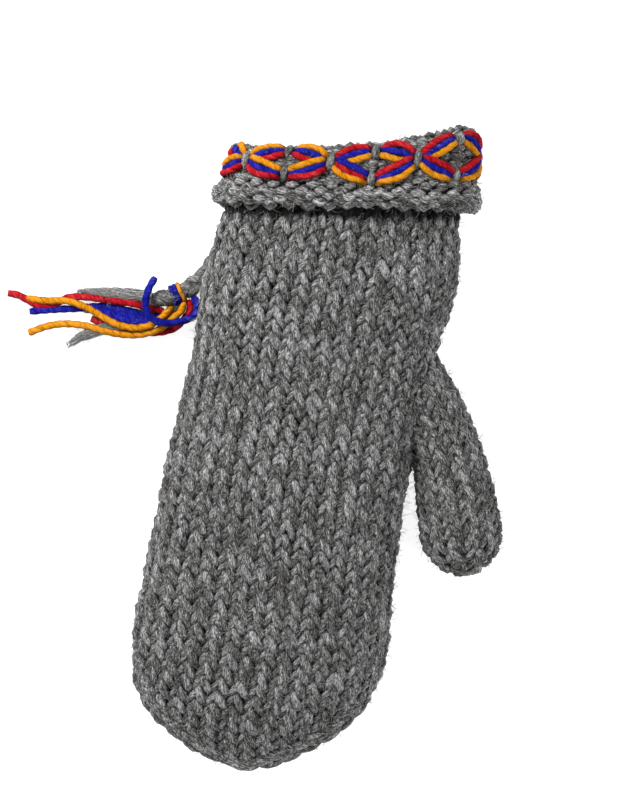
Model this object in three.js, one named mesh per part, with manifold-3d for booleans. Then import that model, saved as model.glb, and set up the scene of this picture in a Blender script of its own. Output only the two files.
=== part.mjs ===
// A hand-knitted wool mitten lying on its palm, with its cuff turned up and a plaited cord and tassel.
// Millimetres, +Z up. +Y runs along the mitten towards the wrist, and +X towards the thumb.
// The origin is the middle of the floor area that hand, thumb and cuff cover together.
import * as THREE from 'three';
import { mergeVertices } from 'three/addons/utils/BufferGeometryUtils.js';
import Module from 'manifold-3d';

const wasm = await Module();
wasm.setup();

// Driving dimensions
const AXIS_X = -20.49; // the hand's long axis, in the part's frame
const TIP_Y = -148.31; // the fingertip, in the part's frame
const WALL = 6; // the knitted fabric's thickness
const GAP = 0.3; // left between pieces that touch
const CROWN_ROUNDNESS = 2.4; // superellipse power of the back of the hand
const PALM_ROUNDNESS = 3.2; // and of the palm, which is flatter
const EDGE_HEIGHT = 0.45; // where the section is widest, as a share of its height
const PALM_PRESS = 2; // how far the palm is pressed flat by its own weight
const FREE_EDGE = { along: 248.3, slope: 0.125 }; // the turned-up cuff's free edge, at the axis
const FOLD = { along: 283, slope: 0.258, dip: 4, halfSpan: 50 }; // and the fold that makes the mouth
const ROLL_HEIGHT = 15; // the thick rolled hem at the free edge
const CORD_DIAMETER = 9;
const YARN_DIAMETER = 3;

// The hand, from the fingertip to the mouth. along: distance from the fingertip. centre: the
// section's middle, from the axis. bottom and top: heights above the floor.
const HAND = [
  { along: 0, centre: 1.5, halfWidth: 3, bottom: 9, top: 15 },
  { along: 2, centre: 0.4, halfWidth: 9.5, bottom: 6.5, top: 17.5 },
  { along: 5, centre: -1.5, halfWidth: 17.5, bottom: 4.8, top: 20.5 },
  { along: 10, centre: -2.8, halfWidth: 27, bottom: 3, top: 24.5 },
  { along: 17.5, centre: -3.4, halfWidth: 37.5, bottom: 1.4, top: 29 },
  { along: 25, centre: -2.8, halfWidth: 45, bottom: 0.5, top: 32 },
  { along: 33, centre: -1.9, halfWidth: 49.8, bottom: 0, top: 34.5 },
  { along: 41, centre: -0.8, halfWidth: 53, bottom: 0, top: 36.5 },
  { along: 55, centre: 0.2, halfWidth: 56, bottom: 0, top: 39 },
  { along: 72, centre: 0, halfWidth: 55.5, bottom: 0, top: 40.5 },
  { along: 104, centre: -0.7, halfWidth: 53.6, bottom: 0, top: 42 },
  { along: 127, centre: -1, halfWidth: 53.3, bottom: 0, top: 42.5 },
  { along: 150, centre: -0.3, halfWidth: 52.4, bottom: 0, top: 43 },
  { along: 174, centre: 1, halfWidth: 52.2, bottom: 0, top: 43.2 },
  { along: 197, centre: 1.4, halfWidth: 53.2, bottom: 0, top: 43.8 },
  { along: 215, centre: 2.8, halfWidth: 54.6, bottom: 4, top: 44.8 },
  { along: 228, centre: 4.2, halfWidth: 54.4, bottom: 7, top: 45 },
  { along: 240, centre: 5, halfWidth: 52, bottom: 8.8, top: 44 },
  { along: 250, centre: 5, halfWidth: 50, bottom: 9.3, top: 43 },
  { along: 265, centre: 4.7, halfWidth: 48.4, bottom: 9, top: 42.5 },
  { along: 281, centre: 4.8, halfWidth: 46.5, bottom: 7.2, top: 43 },
  { along: 310, centre: 5, halfWidth: 44.5, bottom: 7, top: 44 },
];

// The thumb's line from inside the palm to the start of its rounded end.
const THUMB = [
  { x: 24, along: 206, z: 17.5, halfWidth: 15, halfHeight: 13 },
  { x: 36, along: 193, z: 17, halfWidth: 15.3, halfHeight: 13.5 },
  { x: 46, along: 181.5, z: 16.3, halfWidth: 15.6, halfHeight: 14.2 },
  { x: 54.4, along: 171, z: 15.7, halfWidth: 15.8, halfHeight: 14.8 },
  { x: 62, along: 160.3, z: 15.2, halfWidth: 15.8, halfHeight: 15.2 },
  { x: 68.8, along: 147.8, z: 15, halfWidth: 16.2, halfHeight: 15.4 },
  { x: 74.1, along: 133.5, z: 15, halfWidth: 17.6, halfHeight: 15.4 },
  { x: 78.6, along: 120.5, z: 14.8, halfWidth: 18.1, halfHeight: 15.2 },
];
const THUMB_END = { length: 20.5, rings: 6 };

// The turned-up cuff's cut shape: up is above the free edge in mm, share is the part of the way
// from the roll to the fold, over is past the mouth. out is the distance from the hand's outside,
// and what is inside that is cut away.
const CUFF = [
  { up: 0, out: 3.4 },
  { up: 1, out: 7 },
  { up: 3.8, out: 9.1 },
  { up: 8, out: 9.1 },
  { up: 12, out: 7.4 },
  { up: ROLL_HEIGHT, out: 6.2 },
  { share: 0.35, out: 6 },
  { share: 0.7, out: 6.1 },
  { over: -2, out: 6.1 },
  { over: 2, out: 5.2 },
  { over: 4.9, out: 2.6 },
  { over: 6, out: -0.6 },
  { over: 5, out: -3.8 },
  { over: 2.4, out: -5.8 },
  { over: -1, out: -5.8 },
  { over: -1, out: -1 },
  { over: -4, out: -1 },
  { share: 0.7, out: -1 },
  { share: 0.35, out: -1 },
  { up: ROLL_HEIGHT, out: -1 },
  { up: 8, out: -1 },
  { up: 0.8, out: -1 },
];

// The plaited cord, from under the cuff's free edge, along the hand's flank and out to the tassel.
const CORD_ROUTE = [
  [-43, 242, 4.8], [-43.4, 236, 4.7], [-44.8, 229, 4.6], [-47, 222, 4.6], [-49.4, 215.5, 4.6],
  [-52.4, 210.2, 4.6], [-56.2, 205.8, 4.6], [-60.6, 202.2, 4.6], [-65.4, 199.2, 4.7], [-70.2, 196.8, 4.9],
];

// The tassel's yarn ends, from its head outwards: [x, along, height of the yarn's middle].
const TASSEL_HEAD = { x: -72.6, along: 194.4, z: 5.4, radius: 5.2 };
const TASSEL_YARNS = [
  [[-70, 194, 7.4], [-77, 194, 7.2], [-88, 193.8, 6], [-101.7, 193.4, 4.6], [-109.6, 191.5, 3.4],
    [-115, 187.3, 1.8], [-120.8, 185.4, 1.7], [-125.8, 186.7, 1.7], [-130.3, 188.9, 1.7], [-136.1, 188.6, 1.7]],
  [[-66, 191.4, 8], [-70.2, 186.4, 7.4], [-76.5, 183.2, 6.8], [-84.8, 183.2, 6.4], [-92, 185.2, 6],
    [-100.8, 188.4, 5.4], [-110, 189.8, 4.6], [-118.6, 188.3, 3.6], [-127.4, 187.8, 2]],
  [[-66.6, 189.6, 6.2], [-69.6, 183.6, 4.8], [-78.8, 179.8, 3.6], [-89.6, 179.4, 2.6], [-99.4, 180.4, 1.8],
    [-108.9, 179.7, 1.6], [-116.6, 177.2, 1.6], [-124.1, 172.9, 1.6]],
  [[-68, 191.6, 5], [-73.7, 190, 4.4], [-81.2, 189.6, 3.6], [-90.2, 190.2, 2.6], [-96.9, 189.4, 1.8],
    [-103.3, 187.2, 1.6], [-108.8, 186.2, 1.6], [-115.9, 184, 1.6], [-124.7, 181.6, 1.6]],
  [[-67, 188.9, 4], [-73.7, 186, 2.8], [-80.5, 185.8, 2], [-91, 187, 1.6]],
  [[-60.5, 189.4, 7.6], [-65.1, 187.6, 8.9], [-71.8, 188.5, 10], [-75.6, 193, 10.6], [-76.2, 198.9, 10.2],
    [-73.4, 206.2, 8.6]],
  [[-64, 189, 3.4], [-66.4, 183.8, 2.6], [-76.3, 181.4, 1.8], [-83.1, 181.4, 1.6], [-90.1, 182, 1.6],
    [-98, 184, 1.6]],
];
// The tassel's thick grey locks, tapering to their ends.
const TASSEL_LOCKS = [
  { width: 7.4, line: [[-70, 196.4, 6], [-77, 197.6, 5.2], [-85, 197.4, 4.2], [-96, 195.8, 3.4], [-107, 195, 2.4]] },
  { width: 5.4, line: [[-69, 190, 4], [-78, 184.6, 3], [-88, 179.4, 2.6], [-98, 176.4, 2.4], [-106.5, 170.2, 1.8]] },
  { width: 5.4, line: [[-69, 192, 4], [-80.2, 188.4, 3], [-90.9, 187, 2.6], [-101, 186.4, 1.8]] },
];

// A smooth curve through a table's column, with the slope at each row taken from its neighbours.
function smooth(table, key, column, at) {
  const last = table.length - 1;
  const k = Math.min(Math.max(table.findIndex((row) => row[key] > at), 1), last);
  const i = at >= table[last][key] ? last - 1 : k - 1;
  const slope = (n) => {
    const a = table[Math.max(n - 1, 0)];
    const b = table[Math.min(n + 1, last)];
    return (b[column] - a[column]) / (b[key] - a[key]);
  };
  const [p, q] = [table[i], table[i + 1]];
  const span = q[key] - p[key];
  const t = Math.min(Math.max((at - p[key]) / span, 0), 1);
  const [t2, t3] = [t * t, t * t * t];
  return (2 * t3 - 3 * t2 + 1) * p[column] + (t3 - 2 * t2 + t) * span * slope(i)
    + (3 * t2 - 2 * t3) * q[column] + (t3 - t2) * span * slope(i + 1);
}

// A point of the hand's outside, turn 0 at the thumb's side, 0.25 on the back, 0.75 on the palm.
// out moves it off the surface, within its own section.
function handPoint(turn, along, out = 0) {
  const centre = smooth(HAND, 'along', 'centre', along);
  const halfWidth = smooth(HAND, 'along', 'halfWidth', along);
  const bottom = Math.max(smooth(HAND, 'along', 'bottom', along), 0);
  const top = smooth(HAND, 'along', 'top', along);
  const edge = bottom + (top - bottom) * EDGE_HEIGHT;
  const outline = (at) => {
    const angle = 2 * Math.PI * at;
    const back = Math.sin(angle) >= 0;
    const power = 2 / (back ? CROWN_ROUNDNESS : PALM_ROUNDNESS);
    const across = Math.sign(Math.cos(angle)) * Math.abs(Math.cos(angle)) ** power;
    const up = Math.abs(Math.sin(angle)) ** power;
    const z = back ? edge + (top - edge) * up : edge - (edge - bottom + PALM_PRESS) * up;
    return new THREE.Vector2(centre + halfWidth * across, Math.max(z, bottom));
  };
  const here = outline(turn);
  if (out !== 0) {
    const step = 0.004;
    const tangent = outline(turn + step).sub(outline(turn - step)).normalize();
    here.addScaledVector(new THREE.Vector2(tangent.y, -tangent.x), out);
  }
  return new THREE.Vector3(here.x, along, here.y);
}

const freeEdgeAt = (x) => FREE_EDGE.along + FREE_EDGE.slope * x;
const foldAt = (x) => FOLD.along + FOLD.slope * x - FOLD.dip * (1 - (x / FOLD.halfSpan) ** 2);
const mouthAt = (x) => foldAt(x) - WALL;

// A point of the surface whose distance along the hand depends on how far across it lies.
function slantedPoint(turn, alongAt, out = 0) {
  let along = alongAt(0);
  for (let pass = 0; pass < 4; pass++) along = alongAt(handPoint(turn, along).x);
  return handPoint(turn, along, out);
}

// Geometry from rings of points: closed by a fan at each end, or joined end to end.
function loft(rings, endToEnd = false) {
  const around = rings[0].length;
  const points = rings.flat().flatMap((p) => p.toArray());
  const index = [];
  const spans = endToEnd ? rings.length : rings.length - 1;
  for (let i = 0; i < spans; i++) {
    for (let j = 0; j < around; j++) {
      const a = i * around + j;
      const b = i * around + ((j + 1) % around);
      const up = ((i + 1) % rings.length) * around - i * around;
      index.push(a, a + up, b, b, a + up, b + up);
    }
  }
  if (!endToEnd) {
    [0, rings.length - 1].forEach((i) => {
      const middle = rings[i].reduce((sum, p) => sum.add(p), new THREE.Vector3()).divideScalar(around);
      points.push(...middle.toArray());
      const hub = points.length / 3 - 1;
      for (let j = 0; j < around; j++) {
        const a = i * around + j;
        const b = i * around + ((j + 1) % around);
        index.push(...(i === 0 ? [hub, a, b] : [hub, b, a]));
      }
    });
  }
  const geometry = new THREE.BufferGeometry();
  geometry.setAttribute('position', new THREE.Float32BufferAttribute(points, 3));
  geometry.setIndex(index);
  return geometry;
}

// A closed geometry as a solid that can be cut and joined.
function solidOf(geometry) {
  const bare = geometry.clone();
  bare.deleteAttribute('normal');
  bare.deleteAttribute('uv');
  const merged = mergeVertices(bare, 1e-4);
  return new wasm.Manifold(new wasm.Mesh({
    numProp: 3,
    vertProperties: new Float32Array(merged.attributes.position.array),
    triVerts: new Uint32Array(merged.index.array),
  }));
}

// The largest piece of a solid, without facets thinner than the tolerance, as geometry.
function geometryOf(solid, tolerance = 0.03) {
  const largest = solid.decompose().sort((a, b) => b.volume() - a.volume())[0];
  const mesh = largest.simplify(tolerance).getMesh();
  const geometry = new THREE.BufferGeometry();
  geometry.setAttribute('position', new THREE.BufferAttribute(new Float32Array(mesh.vertProperties), 3));
  geometry.setIndex(new THREE.BufferAttribute(new Uint32Array(mesh.triVerts), 1));
  return geometry;
}

const turns = (count) => Array.from({ length: count }, (_, j) => j / count);

// The hand's outer form. grow makes it larger all round, to cut a neighbour clear of it.
function handForm(grow = 0) {
  const stations = [0.6, 2, 4, 7, 10.5, 14.5, 19, 24.5, 31, 38.5, 47, 57, 70, 86, 104, 122, 140, 157, 172,
    186, 199, 210, 220, 230, 240, 250, 262];
  const rings = stations.map((along) => turns(44).map((turn) => handPoint(turn, along, grow)));
  rings.push(turns(44).map((turn) => slantedPoint(turn, (x) => mouthAt(x) + grow, grow)));
  return solidOf(loft(rings));
}

// The space inside the hand. Near the fingertip it is taken from a little further out, so that
// the wall keeps its thickness round the end, and it runs on past the mouth.
function handSpace() {
  const stations = [7.5, 9.5, 13, 18, 25, 34, 46, 62, 86, 114, 145, 175, 200, 222, 245, 268, 300];
  const rings = stations.map((along) => turns(36).map((turn) => {
    const shift = 4.5 * Math.exp(-((along - stations[0]) ** 2) / 700);
    const p = handPoint(turn, along - shift, -WALL);
    p.y = along;
    return p;
  }));
  return solidOf(loft(rings));
}

// The thumb's form, thinner by inset all round for the space inside it.
function thumbForm(inset = 0) {
  const line = THUMB.map((row) => new THREE.Vector3(row.x, row.along, row.z));
  const curve = new THREE.CatmullRomCurve3(line, false, 'centripetal');
  const rows = THUMB.map((row, i) => {
    const t = i / (THUMB.length - 1);
    const heading = curve.getTangent(t).setZ(0).normalize();
    return { middle: row, heading, halfWidth: row.halfWidth, halfHeight: row.halfHeight };
  });
  const last = rows[rows.length - 1];
  const reach = THUMB_END.length - inset;
  for (let k = 1; k <= THUMB_END.rings; k++) {
    const angle = (Math.PI / 2) * Math.min(k / THUMB_END.rings, 0.985);
    const forward = last.heading.clone().multiplyScalar(reach * Math.sin(angle));
    const middle = { x: last.middle.x + forward.x, along: last.middle.along + forward.y, z: last.middle.z };
    const shrink = Math.cos(angle);
    rows.push({
      middle,
      heading: last.heading,
      halfWidth: (last.halfWidth - inset) * shrink + inset,
      halfHeight: (last.halfHeight - inset) * shrink + inset,
    });
  }
  const rings = rows.map((row) => turns(28).map((turn) => {
    const angle = 2 * Math.PI * turn;
    const side = new THREE.Vector3(-row.heading.y, row.heading.x, 0);
    const across = Math.cos(angle) * (row.halfWidth - inset);
    const z = row.middle.z + Math.sin(angle) * (row.halfHeight - inset);
    const p = new THREE.Vector3(row.middle.x, row.middle.along, Math.max(z, inset));
    return p.addScaledVector(side, across);
  }));
  return solidOf(loft(rings.reverse()));
}

// The cuff: its cut shape carried round the hand.
function cuffForm() {
  const rings = turns(52).map((turn) => CUFF.map((point) => {
    const alongAt = (x) => {
      if (point.up !== undefined) return freeEdgeAt(x) + point.up;
      if (point.over !== undefined) return mouthAt(x) + point.over;
      const rollTop = freeEdgeAt(x) + ROLL_HEIGHT;
      return rollTop + point.share * (mouthAt(x) - rollTop);
    };
    const p = slantedPoint(turn, alongAt, point.out);
    p.z = Math.max(p.z, 0);
    return p;
  }));
  return solidOf(loft(rings.reverse(), true)).subtract(handForm(GAP));
}

function circle(diameter, sides) {
  const points = turns(sides).map((turn) => new THREE.Vector2(
    (Math.cos(2 * Math.PI * turn) * diameter) / 2,
    (Math.sin(2 * Math.PI * turn) * diameter) / 2,
  ));
  return new THREE.Shape(points);
}

function tube(route, diameter, steps, sides = 8) {
  const path = new THREE.CatmullRomCurve3(route.map((p) => new THREE.Vector3(...p)), false, 'centripetal');
  return new THREE.ExtrudeGeometry(circle(diameter, sides), { steps, extrudePath: path, bevelEnabled: false });
}

// A lock of loose wool: a round section that swells from the head and tapers to the end.
function lock({ width, line }) {
  const curve = new THREE.CatmullRomCurve3(line.map((p) => new THREE.Vector3(...p)), false, 'centripetal');
  const steps = 9;
  const rings = Array.from({ length: steps + 1 }, (_, i) => {
    const t = i / steps;
    const middle = curve.getPoint(t);
    const heading = curve.getTangent(t).setZ(0).normalize();
    const side = new THREE.Vector3(-heading.y, heading.x, 0);
    const half = (width / 2) * (0.75 + 0.25 * Math.sin(Math.PI * t)) * (1 - 0.55 * t ** 3);
    return turns(8).map((turn) => {
      const angle = 2 * Math.PI * turn;
      const z = Math.max(middle.z + Math.sin(angle) * half * 0.7, 0);
      return new THREE.Vector3(middle.x, middle.y, z).addScaledVector(side, Math.cos(angle) * half);
    });
  });
  return loft(rings.reverse());
}

function tasselForm() {
  const head = new THREE.SphereGeometry(TASSEL_HEAD.radius, 14, 10);
  head.translate(TASSEL_HEAD.x, TASSEL_HEAD.along, TASSEL_HEAD.z);
  let form = solidOf(head);
  TASSEL_YARNS.forEach((route) => {
    form = form.add(solidOf(tube(route, YARN_DIAMETER, 2 * route.length)));
  });
  TASSEL_LOCKS.forEach((one) => {
    form = form.add(solidOf(lock(one)));
  });
  return form;
}

const wool = new THREE.MeshStandardMaterial({ color: 0x6f6e6d, roughness: 0.95, metalness: 0 });
const cuffWool = new THREE.MeshStandardMaterial({ color: 0x757473, roughness: 0.95, metalness: 0 });
const cordWool = new THREE.MeshStandardMaterial({ color: 0x7b7a79, roughness: 0.95, metalness: 0 });
const tasselWool = new THREE.MeshStandardMaterial({ color: 0xc08a1e, roughness: 0.9, metalness: 0 });

function piece(name, geometry, material) {
  const plain = geometry.index ? geometry.toNonIndexed() : geometry;
  plain.computeVertexNormals();
  const mesh = new THREE.Mesh(plain, material);
  mesh.name = name;
  return mesh;
}

const thumbSpace = thumbForm(WALL);
const cordGeometry = tube(CORD_ROUTE, CORD_DIAMETER, 24, 10);
const clearOfCord = solidOf(tube(CORD_ROUTE, CORD_DIAMETER + 2 * GAP, 24, 10));
const mitten = new THREE.Group();
mitten.add(
  piece('hand', geometryOf(handForm().subtract(handSpace()).subtract(thumbSpace)), wool),
  piece('thumb', geometryOf(thumbForm().subtract(thumbSpace).subtract(handForm(GAP))), wool),
  piece('turned_cuff', geometryOf(cuffForm()), cuffWool),
  piece('plaited_cord', cordGeometry, cordWool),
  piece('tassel', geometryOf(tasselForm().subtract(clearOfCord)), tasselWool),
);
mitten.position.set(AXIS_X, TIP_Y, 0);

export default mitten;
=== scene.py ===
import math
import bmesh
import bpy
import numpy as np
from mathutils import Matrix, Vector


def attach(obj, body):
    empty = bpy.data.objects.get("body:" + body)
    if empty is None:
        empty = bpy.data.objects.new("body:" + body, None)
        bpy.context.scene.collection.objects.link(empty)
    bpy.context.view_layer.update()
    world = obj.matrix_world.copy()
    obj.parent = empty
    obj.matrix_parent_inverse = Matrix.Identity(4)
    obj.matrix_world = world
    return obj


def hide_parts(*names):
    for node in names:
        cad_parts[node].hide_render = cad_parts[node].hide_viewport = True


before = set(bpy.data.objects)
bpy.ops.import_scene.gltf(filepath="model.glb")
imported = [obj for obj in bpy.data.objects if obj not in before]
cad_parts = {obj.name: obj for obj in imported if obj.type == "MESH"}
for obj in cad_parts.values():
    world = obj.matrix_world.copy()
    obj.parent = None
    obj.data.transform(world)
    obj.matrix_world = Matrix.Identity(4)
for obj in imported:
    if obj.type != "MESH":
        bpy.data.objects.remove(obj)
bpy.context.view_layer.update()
print("frame loaded")

mm = 0.001

# camera straight above, turned as the photograph is
view = {
    "middle": (-0.01749, 0.01694),
    "roll": 10.0,
    "distance": 6.0,
    "width": 0.27192,  # of the picture, at the mitten's sides
    "sideHeight": 0.02,
}


def placeCamera():
    data = bpy.data.cameras.new("photoCamera")
    data.sensor_fit = "HORIZONTAL"
    data.sensor_width = 36.0
    data.lens = 36.0 * (view["distance"] - view["sideHeight"]) / view["width"]
    data.clip_end = 20.0
    camera = bpy.data.objects.new("photoCamera", data)
    camera.location = (view["middle"][0], view["middle"][1], view["distance"])
    camera.rotation_euler = (0, 0, math.radians(view["roll"]))
    bpy.context.collection.objects.link(camera)
    bpy.context.scene.camera = camera


placeCamera()

# the forms that the yarn is laid on. Lengths are in millimetres, along is from the fingertip,
# x is from the hand's axis
handForm = {
    "axisX": -20.49,
    "tipY": -148.31,
    "crownRoundness": 2.4,
    "palmRoundness": 3.2,
    "edgeHeight": 0.45,
    "palmPress": 2.0,
    "wall": 6.0,
    "quarterSteps": 48,
    "outlineSteps": 161,  # of a quarter, before it is evened out
    "places": (0.6, 309.0, 1.0),  # first, last and step, along the hand
    # along, centre, halfWidth, bottom, top
    "sections": [
        (0, 1.5, 3, 9, 15), (2, 0.4, 9.5, 6.5, 17.5), (5, -1.5, 17.5, 4.8, 20.5), (10, -2.8, 27, 3, 24.5),
        (17.5, -3.4, 37.5, 1.4, 29), (25, -2.8, 45, 0.5, 32), (33, -1.9, 49.8, 0, 34.5),
        (41, -0.8, 53, 0, 36.5), (55, 0.2, 56, 0, 39), (72, 0, 55.5, 0, 40.5), (104, -0.7, 53.6, 0, 42),
        (127, -1, 53.3, 0, 42.5), (150, -0.3, 52.4, 0, 43), (174, 1, 52.2, 0, 43.2),
        (197, 1.4, 53.2, 0, 43.8), (215, 2.8, 54.6, 4, 44.8), (228, 4.2, 54.4, 7, 45),
        (240, 4.3, 52.7, 8.8, 44), (250, 5, 50, 9.3, 43), (265, 4.7, 48.4, 9, 42.5),
        (281, 4.8, 46.5, 7.2, 43), (310, 5, 44.5, 7, 44),
    ],
}
cuffForm = {
    "freeEdge": 248.8, "freeEdgeSlope": 0.16,
    "fold": 283.0, "foldSlope": 0.258, "foldDip": 4.0, "foldHalfSpan": 50.0,
    "rollHeight": 15.0,
    "stepsRound": 192,
    "steps": 70, "fineSteps": 300,  # from the free edge over the fold into the mouth
    "middleStep": 32,
    "startAlong": 260.0, "passes": 6,  # to find where each ring of the cut meets the hand
    "rollTopRow": 6, "crestRow": 11,  # of the cut
    # (kind, place, out): up is above the free edge, share is from the roll to the mouth,
    # over is past the mouth
    "cut": [
        ("up", 0.6, 1.2), ("up", 0.2, 3.4), ("up", 1, 7), ("up", 3.8, 9.1), ("up", 8, 9.1),
        ("up", 12, 7.4), ("up", 15, 6.2), ("share", 0.35, 6), ("share", 0.7, 6.1), ("over", -2, 6.1),
        ("over", 2, 5.2), ("over", 4.9, 2.6), ("over", 6, -0.6), ("over", 5, -3.8), ("over", 2.4, -5.8),
        ("over", -1.5, -6), ("over", -5, -6),
    ],
}
thumbForm = {
    "steps": 110, "endSteps": 26, "quarterSteps": 20, "outlineSteps": 161,
    "smallest": 0.4,  # half width at the very tip
    # x, along, z, halfWidth, halfHeight
    "sections": [
        (24, 206, 17.5, 15, 13), (36, 193, 17, 15.3, 13.5), (46, 181.5, 16.3, 15.6, 14.2),
        (54.4, 171, 15.7, 15.8, 14.8), (62, 160.3, 15.2, 15.8, 15.2), (68.8, 147.8, 15, 16.2, 15.4),
        (74.1, 133.5, 15, 17.6, 15.4), (78.6, 120.5, 14.8, 18.1, 15.2),
    ],
    "endLength": 20.5,
}
inFrame = np.array([handForm["axisX"], handForm["tipY"], 0.0])


def walkAlong(points):
    # how far along a line each of its points lies
    return np.concatenate([[0], np.cumsum(np.linalg.norm(np.diff(points, axis=0), axis=1))])


def smoothColumns(table, at):
    # every column of a table at the places given, with slopes taken from the neighbouring rows
    table = np.array(table, float)
    key = table[:, 0]
    slope = np.empty_like(table)
    slope[1:-1] = (table[2:] - table[:-2]) / (key[2:] - key[:-2])[:, None]
    slope[0] = (table[1] - table[0]) / (key[1] - key[0])
    slope[-1] = (table[-1] - table[-2]) / (key[-1] - key[-2])
    i = np.clip(np.searchsorted(key, at, side="right") - 1, 0, len(key) - 2)
    span = (key[i + 1] - key[i])[:, None]
    t = np.clip((at[:, None] - key[i][:, None]) / span, 0, 1)
    return ((2 * t**3 - 3 * t**2 + 1) * table[i] + (t**3 - 2 * t**2 + t) * span * slope[i]
            + (3 * t**2 - 2 * t**3) * table[i + 1] + (t**3 - t**2) * span * slope[i + 1])


def evenOutline(halfX, low, high, edge, power, count):
    # a quarter of a superellipse from its top or bottom middle to its side, in even steps
    angle = np.linspace(np.pi / 2, 0, handForm["outlineSteps"])
    x = halfX * np.abs(np.cos(angle)) ** (2 / power)
    up = np.abs(np.sin(angle)) ** (2 / power)
    if high > edge:
        z = edge + (high - edge) * up
    else:
        z = edge - (edge - low + handForm["palmPress"]) * up
    z = np.maximum(z, low)
    length = np.concatenate([[0], np.cumsum(np.hypot(np.diff(x), np.diff(z)))])
    even = np.linspace(0, length[-1], count)
    return np.interp(even, length, x), np.interp(even, length, z), length[-1]


class Form:
    # a grid of surface points, round by along, that yarn can be laid on. round is 0 on the crown,
    # 0.25 on the thumb's side, 0.5 on the palm and 0.75 on the far side
    def __init__(self, places, points, backLength, palmLength):
        self.places = places
        self.points = points
        self.backLength = backLength
        self.palmLength = palmLength
        closed = np.concatenate([points[:, -2:-1], points, points[:, 1:2]], axis=1)
        acrossStep = closed[:, 2:] - closed[:, :-2]
        alongStep = np.gradient(points, axis=0)
        normal = np.cross(acrossStep, alongStep)
        self.normals = normal / np.maximum(np.linalg.norm(normal, axis=2, keepdims=True), 1e-9)

    def look(self, grid, turn, along):
        count = self.points.shape[1] - 1
        u = (np.asarray(turn) % 1.0) * count
        i = np.minimum(u.astype(int), count - 1)
        fu = (u - i)[..., None]
        w = np.interp(along, self.places, np.arange(len(self.places)))
        j = np.minimum(w.astype(int), len(self.places) - 2)
        fw = (w - j)[..., None]
        return ((1 - fw) * ((1 - fu) * grid[j, i] + fu * grid[j, i + 1])
                + fw * ((1 - fu) * grid[j + 1, i] + fu * grid[j + 1, i + 1]))

    def away(self, turn, along):
        normal = self.look(self.normals, turn, along)
        return normal / np.maximum(np.linalg.norm(normal, axis=-1, keepdims=True), 1e-9)

    def at(self, turn, along, out=0.0):
        return self.look(self.points, turn, along) + self.away(turn, along) * np.asarray(out)[..., None]

    def quarter(self, along, palm=False):
        return np.interp(along, self.places, self.palmLength if palm else self.backLength)


def handSurface():
    quarterSteps = handForm["quarterSteps"]
    places = np.arange(*handForm["places"])
    rows = smoothColumns(handForm["sections"], places)
    points = np.zeros((len(places), 4 * quarterSteps + 1, 3))
    backLength, palmLength = [], []
    for n, (along, centre, halfWidth, bottom, top) in enumerate(rows):
        bottom = max(bottom, 0.0)
        edge = bottom + (top - bottom) * handForm["edgeHeight"]
        count = quarterSteps + 1
        backX, backZ, backRun = evenOutline(halfWidth, edge, top, edge, handForm["crownRoundness"], count)
        palmX, palmZ, palmRun = evenOutline(halfWidth, bottom, edge - 1, edge, handForm["palmRoundness"],
                                            count)
        xs = np.concatenate([backX, palmX[::-1][1:], -palmX[1:], -backX[::-1][1:]])
        zs = np.concatenate([backZ, palmZ[::-1][1:], palmZ[1:], backZ[::-1][1:]])
        points[n, :, 0] = centre + xs
        points[n, :, 1] = along
        points[n, :, 2] = zs
        backLength.append(backRun)
        palmLength.append(palmRun)
    return Form(places, points, np.array(backLength), np.array(palmLength))


hand = handSurface()


def foldAt(x):
    c = cuffForm
    return c["fold"] + c["foldSlope"] * x - c["foldDip"] * (1 - (x / c["foldHalfSpan"]) ** 2)


def mouthAt(x):
    return foldAt(x) - handForm["wall"]


def freeEdgeAt(x):
    return cuffForm["freeEdge"] + cuffForm["freeEdgeSlope"] * x


def cuffSurface():
    turns = np.arange(cuffForm["stepsRound"] + 1) / cuffForm["stepsRound"]
    profile = []
    for kind, place, out in cuffForm["cut"]:
        along = np.full(len(turns), cuffForm["startAlong"])
        for step in range(cuffForm["passes"]):
            x = hand.at(turns, along)[:, 0]
            if kind == "up":
                along = freeEdgeAt(x) + place
            elif kind == "over":
                along = mouthAt(x) + place
            else:
                rollTop = freeEdgeAt(x) + cuffForm["rollHeight"]
                along = rollTop + place * (mouthAt(x) - rollTop)
        points = hand.at(turns, along, np.full(len(turns), float(out)))
        points[:, 2] = np.maximum(points[:, 2], 0.0)
        profile.append(points)
    profile = np.array(profile)
    count = cuffForm["steps"]
    grid = np.zeros((count, len(turns), 3))
    lengths, rollTops, crests = [], [], []
    for j in range(len(turns)):
        line = profile[:, j]
        chord = walkAlong(line)
        at = np.linspace(0, chord[-1], cuffForm["fineSteps"])
        fine = smoothColumns(np.column_stack([chord, line]), at)[:, 1:]
        run = walkAlong(fine)
        even = np.linspace(0, run[-1], count)
        grid[:, j] = np.column_stack([np.interp(even, run, fine[:, k]) for k in range(3)])
        lengths.append(run[-1])
        rollTops.append(chord[cuffForm["rollTopRow"]] / chord[-1] * (count - 1))
        crests.append(chord[cuffForm["crestRow"]] / chord[-1] * (count - 1))
    form = Form(np.arange(count), grid, None, None)
    form.lengths = np.array(lengths)
    form.rollTops = np.array(rollTops)
    form.crests = np.array(crests)
    form.turns = turns
    return form


cuff = cuffSurface()
cuffLast = cuffForm["steps"] - 1
cuffMiddle = cuff.points[cuffForm["middleStep"]]
# a walk round the cuff's middle, in millimetres, so that what is sewn on is evenly spaced
cuffWalk = walkAlong(cuffMiddle)


def cuffTurn(walk):
    return np.interp(np.asarray(walk) % cuffWalk[-1], cuffWalk, cuff.turns)


def cuffStep(turn):
    # how many millimetres a step of the cuff's grid is
    return np.interp(np.asarray(turn) % 1.0, cuff.turns, cuff.lengths) / cuffLast


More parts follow.
